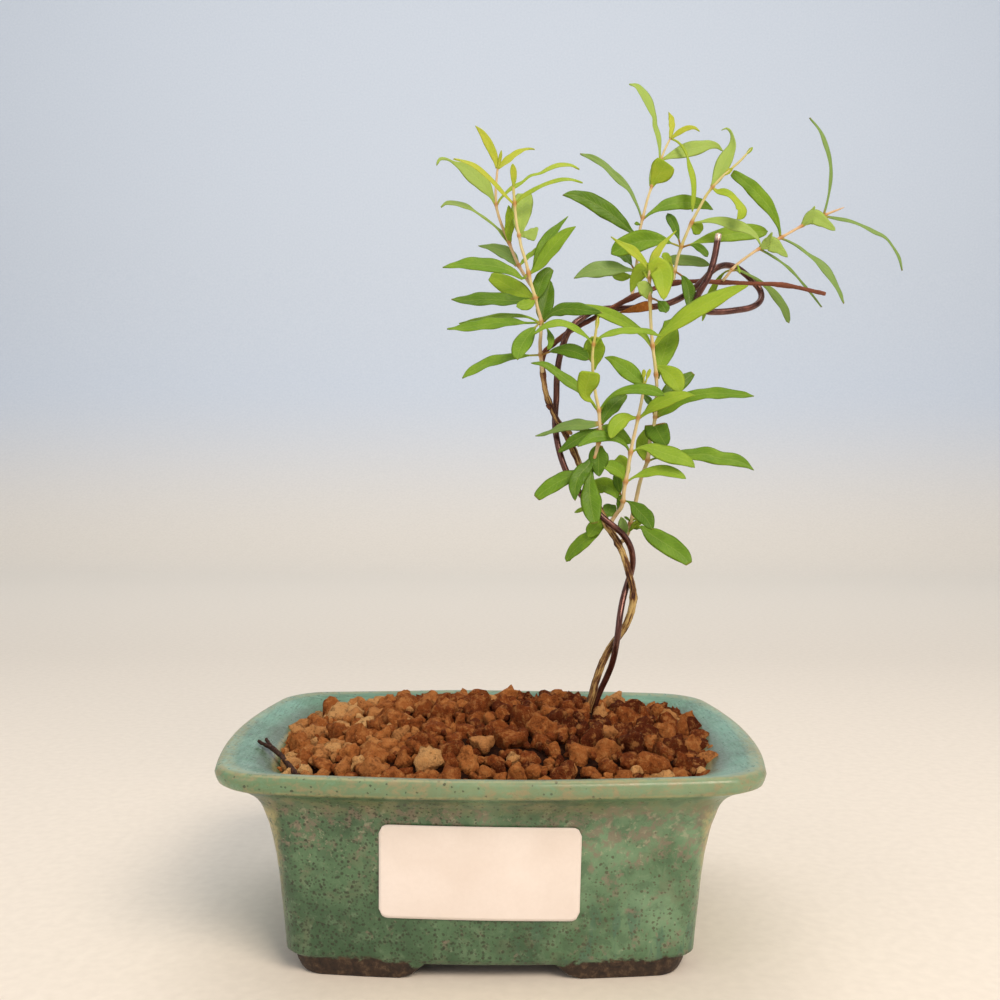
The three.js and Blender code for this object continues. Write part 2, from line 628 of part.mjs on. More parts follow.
// ---------------------------------------------------------------- drain screens
function makeScreen(x) {
  const { size, thickness, openings, bar } = SCREEN;
  const plate = new THREE.BoxGeometry(size, size, thickness);
  const pitch = (size - bar) / openings;
  const windows = [];
  for (let i = 0; i < openings; i++) {
    for (let j = 0; j < openings; j++) {
      windows.push(new THREE.BoxGeometry(pitch - bar, pitch - bar, 3 * thickness)
        .translate((i + 0.5) * pitch - (size - bar) / 2, (j + 0.5) * pitch - (size - bar) / 2, 0));
    }
  }
  return cut(plate, ...windows).translate(x, 0, POT_FLOOR + GAP + thickness / 2);
}

// ---------------------------------------------------------------- soil
const lump = (x, y) =>
  SOIL_LUMP * Math.sin(x * 0.91 + y * 0.37) * Math.cos(y * 0.83 - x * 0.29 + 1.3);

function makeSoil(buriedThings) {
  const fitted = (z, levelZ = z) => {
    const [w, d, rimness] = potSize(POT_INSIDE, levelZ);
    return potOutline([z, w - GAP - 0.15, d - GAP - 0.15, rimness]);
  };
  const rings = [10.35, 12.4, 38, 45].map((z) => fitted(z, Math.max(z, POT_FLOOR)));
  const edge = fitted(SOIL_EDGE, SOIL_EDGE - SOIL_TILT);
  for (const reach of [1, 0.87, 0.7, 0.5, 0.27, 0.08]) {
    rings.push(edge.map((p) => {
      const [x, y] = [p.x * reach, p.y * reach];
      const heap = SOIL_EDGE + SOIL_CROWN * (1 - reach ** 2.2) + (SOIL_TILT * y) / 43;
      return new THREE.Vector3(x, y, heap + (reach < 1 ? lump(x, y) : 0));
    }));
  }
  const pocket = SCREEN.size + 2 * GAP;
  const pockets = [-DRAIN_HOLE.x, DRAIN_HOLE.x].map((x) =>
    new THREE.BoxGeometry(pocket, pocket, 2 * (SCREEN.thickness + 2 * GAP))
      .translate(x, 0, POT_FLOOR + GAP));
  return cut(loft(rings), ...pockets, ...buriedThings);
}

// ---------------------------------------------------------------- label
// A blank paper label that follows the bow of the front wall.
function makeLabel() {
  const wallY = (x, z) => {
    const [w, d] = potSize(POT_OUTSIDE, z);
    const unbowed = x / (1 - SIDE_BOW.body / w);
    return -(d - FRONT_BOW.body * (unbowed / w) ** 2);
  };
  const { corner, width, height, thickness } = LABEL;
  const roundness = [0, 0.3, 0.6, 1];
  const ends = roundness.map((k) => -width / 2 + corner * k);
  const stations = [...ends, ...spread(-width / 2, width / 2, 9).slice(1, -1),
    ...ends.map((x) => -x).reverse()];
  const rings = stations.map((u) => {
    const inset = Math.max(0, Math.abs(u) - (width / 2 - corner));
    const half = height / 2 - corner + Math.sqrt(Math.max(0, corner ** 2 - inset ** 2));
    const middle = LABEL.top - height / 2;
    const x = LABEL.x + u;
    const [top, bottom] = [middle + half, middle - half];
    const back = (z) => wallY(x, z) - GAP;
    return [
      new THREE.Vector3(x, back(top), top),
      new THREE.Vector3(x, back(top) - thickness, top),
      new THREE.Vector3(x, back(bottom) - thickness, bottom),
      new THREE.Vector3(x, back(bottom), bottom),
    ];
  });
  return loft(rings);
}

// ---------------------------------------------------------------- trunk and wire
const radiiOf = (rows) => rows.map((row) => row[3]);
const trunkTube = (extra = 0) =>
  taperedTube(TRUNK.map(fromFront), radiiOf(TRUNK).map((r) => r + extra), TRUNK_SIDES);

function makeTrunk() {
  const stub = taperedTube(TRUNK_STUB.map(fromFront), radiiOf(TRUNK_STUB), STEM_SIDES);
  return join(trunkTube(), stub);
}

function makeWire() {
  const section = new THREE.Shape(spread(0, 2 * Math.PI, WIRE.sides + 1).slice(1).map((a) =>
    new THREE.Vector2(Math.cos(a), Math.sin(a)).multiplyScalar(WIRE.radius)));
  const extrudePath = curveThrough(WIRE_ROUTE.map(fromFront));
  return new THREE.ExtrudeGeometry(section, { steps: WIRE.steps, extrudePath });
}

// ---------------------------------------------------------------- shoots and leaves
// The place on a stem that looks nearest to [x, z] from the front.
function placeOnStem(curve, [x, z]) {
  const samples = 400;
  let best = { distance: Infinity };
  for (let i = 0; i <= samples; i++) {
    const point = curve.getPoint(i / samples);
    const [seenX, seenZ] = toFront(point);
    const distance = Math.hypot(seenX - x, seenZ - z);
    if (distance < best.distance) best = { distance, t: i / samples, point };
  }
  const { t, point } = best;
  return { t, point, depth: point.y - LAYOUT_PLANE, along: curve.getTangent(t) };
}

// One leaf blade: a thin lens-shaped body along its midrib, from inside the sheath to the tip.
function makeBlade(joint, sheathRadius, [midX, midZ, tipX, tipZ, depth, width, turn]) {
  const middle = fromFront([midX, midZ, joint.depth + depth / 2]);
  const tip = fromFront([tipX, tipZ, joint.depth + depth]);
  const outward = middle.clone().sub(joint.point);
  outward.addScaledVector(joint.along, -outward.dot(joint.along)).normalize();
  const base = joint.point.clone().addScaledVector(outward, sheathRadius);
  const bend = middle.clone().multiplyScalar(2).addScaledVector(base, -0.5)
    .addScaledVector(tip, -0.5);
  const midrib = new THREE.QuadraticBezierCurve3(base, bend, tip);
  const toViewer = new THREE.Vector3(0, -1, 0);
  const angle = THREE.MathUtils.degToRad(turn);
  const outline = [[0, 0], [0.12, 0], [0.32, 0.75], [0.56, 1], [0.8, 0.72]];
  const rings = outline.map(([t, share]) => {
    const centre = midrib.getPoint(t);
    const along = midrib.getTangent(t);
    const facing = toViewer.clone().addScaledVector(along, -toViewer.dot(along)).normalize();
    const skyward = new THREE.Vector3().crossVectors(along, facing);
    if (tip.x >= base.x) skyward.negate();
    const normal = facing.multiplyScalar(Math.cos(angle))
      .addScaledVector(skyward, Math.sin(angle));
    const across = new THREE.Vector3().crossVectors(normal, along);
    const half = PETIOLE_HALF_WIDTH + share * (width / 2 - PETIOLE_HALF_WIDTH);
    return [[across, half], [normal, BLADE_THICKNESS / 2], [across, -half],
      [normal, -BLADE_THICKNESS / 2]].map(([way, reach]) =>
      centre.clone().addScaledVector(way, reach));
  });
  return loft([...rings, [tip]]);
}

// The leaves of one joint, grown together with the sheath that rings the stem there.
function makeLeaves(joint, stemRadius, leaves) {
  const inner = stemRadius + GAP;
  const outer = inner + SHEATH.wall;
  const half = SHEATH.height / 2;
  const profile = [[inner, -half], [outer, -half], [outer, half], [inner, half], [inner, -half]]
    .map(([x, y]) => new THREE.Vector2(x, y));
  const upright = new THREE.Vector3(0, 1, 0);
  const sheath = new THREE.LatheGeometry(profile, 8)
    .applyQuaternion(new THREE.Quaternion().setFromUnitVectors(upright, joint.along))
    .translate(...joint.point.toArray());
  const blades = leaves.map((leaf) => makeBlade(joint, (inner + outer) / 2 + 0.12, leaf));
  return join(sheath, ...blades);
}

// ---------------------------------------------------------------- assembly
const tree = new THREE.Group();
function place(name, geometry, material) {
  const mesh = new THREE.Mesh(geometry, material);
  mesh.name = name;
  tree.add(mesh);
}

// The socket that a buried piece leaves in the soil: its first stretch, fattened and deepened.
function socket(rows, radii) {
  const points = rows.map(fromFront);
  const deeper = points[0].clone().multiplyScalar(2).sub(points[1]).sub(points[0])
    .setLength(2 * GAP).add(points[0]);
  return taperedTube([deeper, ...points], [radii[0], ...radii].map((r) => r + GAP + 0.1), 8);
}
const buried = 5; // how many places of trunk and wire lie in or just above the soil
const buriedTrunk = socket(TRUNK.slice(0, buried), radiiOf(TRUNK.slice(0, buried)));
const buriedWire = socket(WIRE_ROUTE.slice(0, buried), new Array(buried).fill(WIRE.radius));
const twigArm = (rows, extra = 0) => taperedTube(
  rows.map(([x, y, z]) => new THREE.Vector3(x, y, z)), radiiOf(rows).map((r) => r + extra), 6);
const buriedTwig = [
  twigArm(TWIG[0], GAP + 0.1),
  new THREE.SphereGeometry(1.6, 10, 8).translate(...TWIG[0][0].slice(0, 3)),
];

place("pot", makePot(), GLAZE);
place("drain_screen_left", makeScreen(-DRAIN_HOLE.x), MESH_PLASTIC);
place("drain_screen_right", makeScreen(DRAIN_HOLE.x), MESH_PLASTIC);
place("substrate", makeSoil([buriedTrunk, buriedWire, ...buriedTwig]), GRANULES);
place("label", makeLabel(), PAPER);
place("dry_twig", join(...TWIG.map((rows) => twigArm(rows))), DEAD_WOOD);
place("trunk", makeTrunk(), BARK);
place("training_wire", makeWire(), ANODISED_WIRE);

const fatTrunk = trunkTube(GAP);
for (const [name, shoot] of Object.entries(SHOOTS)) {
  const curve = curveThrough(shoot.stem.map(fromFront));
  const [thick, thin] = shoot.radius;
  const stem = taperedTube(shoot.stem.map(fromFront), [thick, thin], STEM_SIDES);
  const parent = name === "a1"
    ? taperedTube(SHOOTS.a2.stem.map(fromFront), SHOOTS.a2.radius.map((r) => r + GAP), STEM_SIDES)
    : fatTrunk;
  place(`stem_${name}`, cut(stem, parent), YOUNG_STEM);
  shoot.joints.forEach(({ at, leaves }, i) => {
    const joint = placeOnStem(curve, at);
    const radius = THREE.MathUtils.lerp(thick, thin, joint.t);
    place(`leaves_${name}_${i + 1}`, makeLeaves(joint, radius, leaves), LEAF);
  });
}
const trunkJoint = placeOnStem(curveThrough(TRUNK.map(fromFront)), TRUNK_JOINT.at);
place("leaves_trunk", makeLeaves(trunkJoint, 1, TRUNK_JOINT.leaves), LEAF);

// The origin lies on the ground under the middle of the whole object.
const bounds = new THREE.Box3().setFromObject(tree);
const middle = bounds.getCenter(new THREE.Vector3());
tree.position.set(-middle.x, -middle.y, -bounds.min.z);
const bonsai = new THREE.Group();
bonsai.add(tree);
export default bonsai;
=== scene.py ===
import math
import random

import bmesh
import bpy
import numpy as np
from mathutils import Euler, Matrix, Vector, noise


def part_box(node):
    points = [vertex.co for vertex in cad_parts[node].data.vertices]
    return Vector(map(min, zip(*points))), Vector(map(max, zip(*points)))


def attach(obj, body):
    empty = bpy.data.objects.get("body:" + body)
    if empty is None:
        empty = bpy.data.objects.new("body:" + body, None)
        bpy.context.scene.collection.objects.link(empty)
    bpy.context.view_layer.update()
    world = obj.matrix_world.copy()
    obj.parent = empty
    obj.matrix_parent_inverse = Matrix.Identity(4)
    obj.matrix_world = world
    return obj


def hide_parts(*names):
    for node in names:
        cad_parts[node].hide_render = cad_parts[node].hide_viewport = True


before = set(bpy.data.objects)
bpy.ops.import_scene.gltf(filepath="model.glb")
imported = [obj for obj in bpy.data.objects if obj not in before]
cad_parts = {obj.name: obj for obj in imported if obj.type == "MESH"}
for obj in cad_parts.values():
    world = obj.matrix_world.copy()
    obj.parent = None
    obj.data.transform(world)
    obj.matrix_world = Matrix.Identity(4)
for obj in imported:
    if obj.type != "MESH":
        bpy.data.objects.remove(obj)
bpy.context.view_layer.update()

# ------------------------------------------------------------------ places
# The layout below is in millimetres, measured from the middle of the pot. "Front" places are
# (x, z, depth): x and z on the upright plane y = LAYOUT_PLANE as seen from the viewpoint, and
# depth is how far the point slides away from the viewpoint along its sight line.
MM = 0.001
low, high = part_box("pot")
POT_X = (low[0] + high[0]) / 2
VIEWPOINT = np.array([2.0, -307.0, 125.0])
LAYOUT_PLANE = 20.0


def from_front(place):
    x, z, depth = place
    reach = (LAYOUT_PLANE + depth - VIEWPOINT[1]) / (LAYOUT_PLANE - VIEWPOINT[1])
    return VIEWPOINT + (np.array([x, LAYOUT_PLANE, z]) - VIEWPOINT) * reach


def to_front(points):
    reach = (LAYOUT_PLANE - VIEWPOINT[1]) / (points[:, 1] - VIEWPOINT[1])
    seen = VIEWPOINT + (points - VIEWPOINT) * reach[:, None]
    return seen[:, [0, 2]]


def unit(v):
    return v / max(np.linalg.norm(v), 1e-12)


def run_along(points):
    """The way from the first point to each point, along the line through them all."""
    steps = np.linalg.norm(np.diff(points, axis=0), axis=1)
    return np.concatenate([[0], np.cumsum(steps)])


class Curve:
    """A centripetal Catmull-Rom curve through points; get(t) runs from 0 to 1 over its spans."""

    def __init__(self, points):
        p = np.array(points, float)
        self.p = np.vstack([2 * p[0] - p[1], p, 2 * p[-1] - p[-2]])
        self.spans = len(p) - 1

    def get(self, t):
        place = min(max(t, 0.0), 1.0) * self.spans
        i = min(int(place), self.spans - 1)
        w = place - i
        x0, x1, x2, x3 = self.p[i:i + 4]
        d0, d1, d2 = (max(np.linalg.norm(b - a), 1e-6) ** 0.5
                      for a, b in ((x0, x1), (x1, x2), (x2, x3)))
        t1 = ((x1 - x0) / d0 - (x2 - x0) / (d0 + d1) + (x2 - x1) / d1) * d1
        t2 = ((x2 - x1) / d1 - (x3 - x1) / (d1 + d2) + (x3 - x2) / d2) * d1
        c2 = -3 * x1 + 3 * x2 - 2 * t1 - t2
        c3 = 2 * x1 - 2 * x2 + t1 + t2
        return x1 + t1 * w + c2 * w * w + c3 * w ** 3

    def tangent(self, t, step=1e-4):
        return unit(self.get(min(t + step, 1)) - self.get(max(t - step, 0)))

    def sample(self, count):
        """Values of t, and the points at them."""
        ts = np.linspace(0, 1, count)
        return ts, np.array([self.get(t) for t in ts])

    def length(self):
        points = self.sample(300)[1]
        return np.linalg.norm(np.diff(points, axis=0), axis=1).sum()

    def even(self, spacing):
        """Values of t about spacing millimetres apart along the curve."""
        fine, points = self.sample(self.spans * 24 + 1)
        run = run_along(points)
        count = max(int(run[-1] / spacing), 4)
        return np.interp(np.linspace(0, run[-1], count + 1), run, fine)

    def nearest(self, x, z):
        """The t that looks nearest to (x, z) from the front."""
        fine, points = self.sample(401)
        seen = to_front(points)
        return fine[np.argmin(np.hypot(seen[:, 0] - x, seen[:, 1] - z))]


# ------------------------------------------------------------------ tables
# Tones of a leaf: the first five from the newest to the oldest, then the off-tones; the grey tone
# is a painted sheen on dark leaves.
TONES = dict(yellow=0.0, young=0.2, light=0.4, mid=0.62, dark=0.88, pale=0.42, grey=0.72,
             olive=0.34)


def rows(text):
    """Reads a table: commas divide its rows, and spaces its numbers or tones."""
    return [tuple(TONES[word] if word in TONES else float(word) for word in row.split())
            for row in text.split(",")]


def read_shoots(text):
    """Per shoot its radii, its places, and its joints: each a place and a list of leaves."""
    shoots = {}
    for entry in text.split(";"):
        word, *parts = entry.split("/")
        word, parts = word.strip(), [rows(part) for part in parts]
        if word == "joint":
            shoots[name][-1].append((parts[0][0], []))
        elif word == "leaf":
            shoots[name][-1][-1][1].append(parts)
        else:
            name = word
            shoots[name] = (*parts, [])
    return shoots


# The trunk and its pruned stub: front place and radius. The wire: front place.
TRUNK = rows("""
27.4 44 -3.5 1.9, 28.3 50 -3.5 1.6, 29.2 56 -3.5 1.35, 30.5 60 -3.5 1.2, 31.6 64.5 -3.5 1.15,
33.3 69.5 -3.5 1.15, 36 75 -3.5 1.1, 39.6 80 -3.7 1.1, 41.6 84.5 -3.8 1.1, 42.6 89 -4 1.1,
42.4 93 -4.2 1.05, 41.3 97 -4.4 1.05, 40.2 101 -4.5 1, 38.8 104.5 -4.7 1, 37 108 -4.9 1,
34.5 112 -5 1, 32 117 -4.9 1, 29.3 123.4 -4.6 1, 26.8 127.9 -4.2 0.95, 24.2 134 -3.5 0.95,
21.2 140 -2.8 0.9, 18.7 144 -2.4 0.9, 17.2 147.3 -2 0.85, 15.6 151.3 -1.5 0.85, 14.7 156.7 -0.6 0.8,
14.4 161 -0.2 0.8, 15.2 163.8 0 0.8, 17.8 166.2 0.2 0.8, 22.2 169.6 0.5 0.78, 28.5 173 1 0.75,
34.6 176.4 1.5 0.75, 40.8 179.7 2 0.7, 51 183.6 2.6 0.68, 59.5 184.6 3 0.65, 66.5 184.4 3.2 0.65,
74.8 184.1 3.4 0.62, 86 183.6 3 0.6, 98.5 181.1 1.5 0.6
""")
TRUNK_STUB = rows("20.6 140.6 -3 0.7, 22.6 140 -4.6 0.55, 23.4 139.4 -5.2 0.5")
# Where the trunk swells round a node or an old scar, as (x, z).
TRUNK_KNOTS = rows("""
34.5 112, 38.2 106.8, 28.4 124.8, 14.6 157, 40.8 179.7, 53.2 184.8, 67.8 184.6, 16.2 149,
86 183.6, 24 134.4, 42.5 90
""")
TRUNK_BUMP = rows("16.9 147.2 -2.2, 15.9 147.9 -3.6")
# Height of that swelling, and its length as a share of the trunk.
KNOT_HEIGHT, KNOT_LENGTH = 0.26, 0.006
WIRE_RADIUS = 0.95
WIRE = rows("""
30.6 42 -0.6, 30.7 50 -0.8, 31.4 57 -1.2, 33 61.5 -1.8, 34.6 65 -2.6, 36.2 69 -4, 37 72 -5.3,
37.7 76 -6.3, 38.2 80 -6.6, 38.6 84 -5.9, 39.2 88 -4.2, 40 91.6 -2.3, 41 95 -1.3, 41.9 98 -1.5,
42.3 101 -2.6, 41.9 104.3 -4.2, 40.8 107 -6, 38.9 109.6 -7.6, 36.4 111.7 -8.3, 33.4 114 -8.3,
30.4 117 -7.9, 28 119.4 -7.1, 25.4 122.6 -5.8, 22.6 126.8 -4.6, 20.3 132.4 -3.2, 18.9 138.2 -1.2,
18.4 142 0.3, 18.4 145.6 1, 18.7 149.8 0.2, 18.8 155.6 -0.6, 19.4 161.3 -1.6, 20.7 166.2 -2.4,
22 169.4 -2.6, 24.1 172.2 -2.2, 26.3 173.8 -1, 28.5 175.3 0.9, 31 176.1 3, 33.5 176.5 4.1,
36.2 176.6 4.4, 39.6 176.6 3.8, 43.5 176.9 2.6, 47.4 177.1 1.4, 51.5 178 0.4, 55.2 179.6 -0.1,
59 182.2 -0.4, 62 184.9 -0.4, 64.2 187.3 1, 66.4 188.8 2.9, 69 189.3 5.3, 71.8 188.6 7,
74.7 186.6 8, 77.1 184.3 8.4, 78.9 182.2 8.2, 79.4 180.2 7, 78.6 178.4 4.8, 76.2 177 2.6,
72 176.2 0.6, 67 175.7 -1.2, 63.2 175.9 -2.6, 60.7 177.4 -3.6, 60.2 179.6 -4.2, 61.4 182.2 -4.5,
63.2 185.3 -4.5, 64.4 188.5 -4.2, 65.3 192 -3.8, 66.3 198.4 -3.2
""")

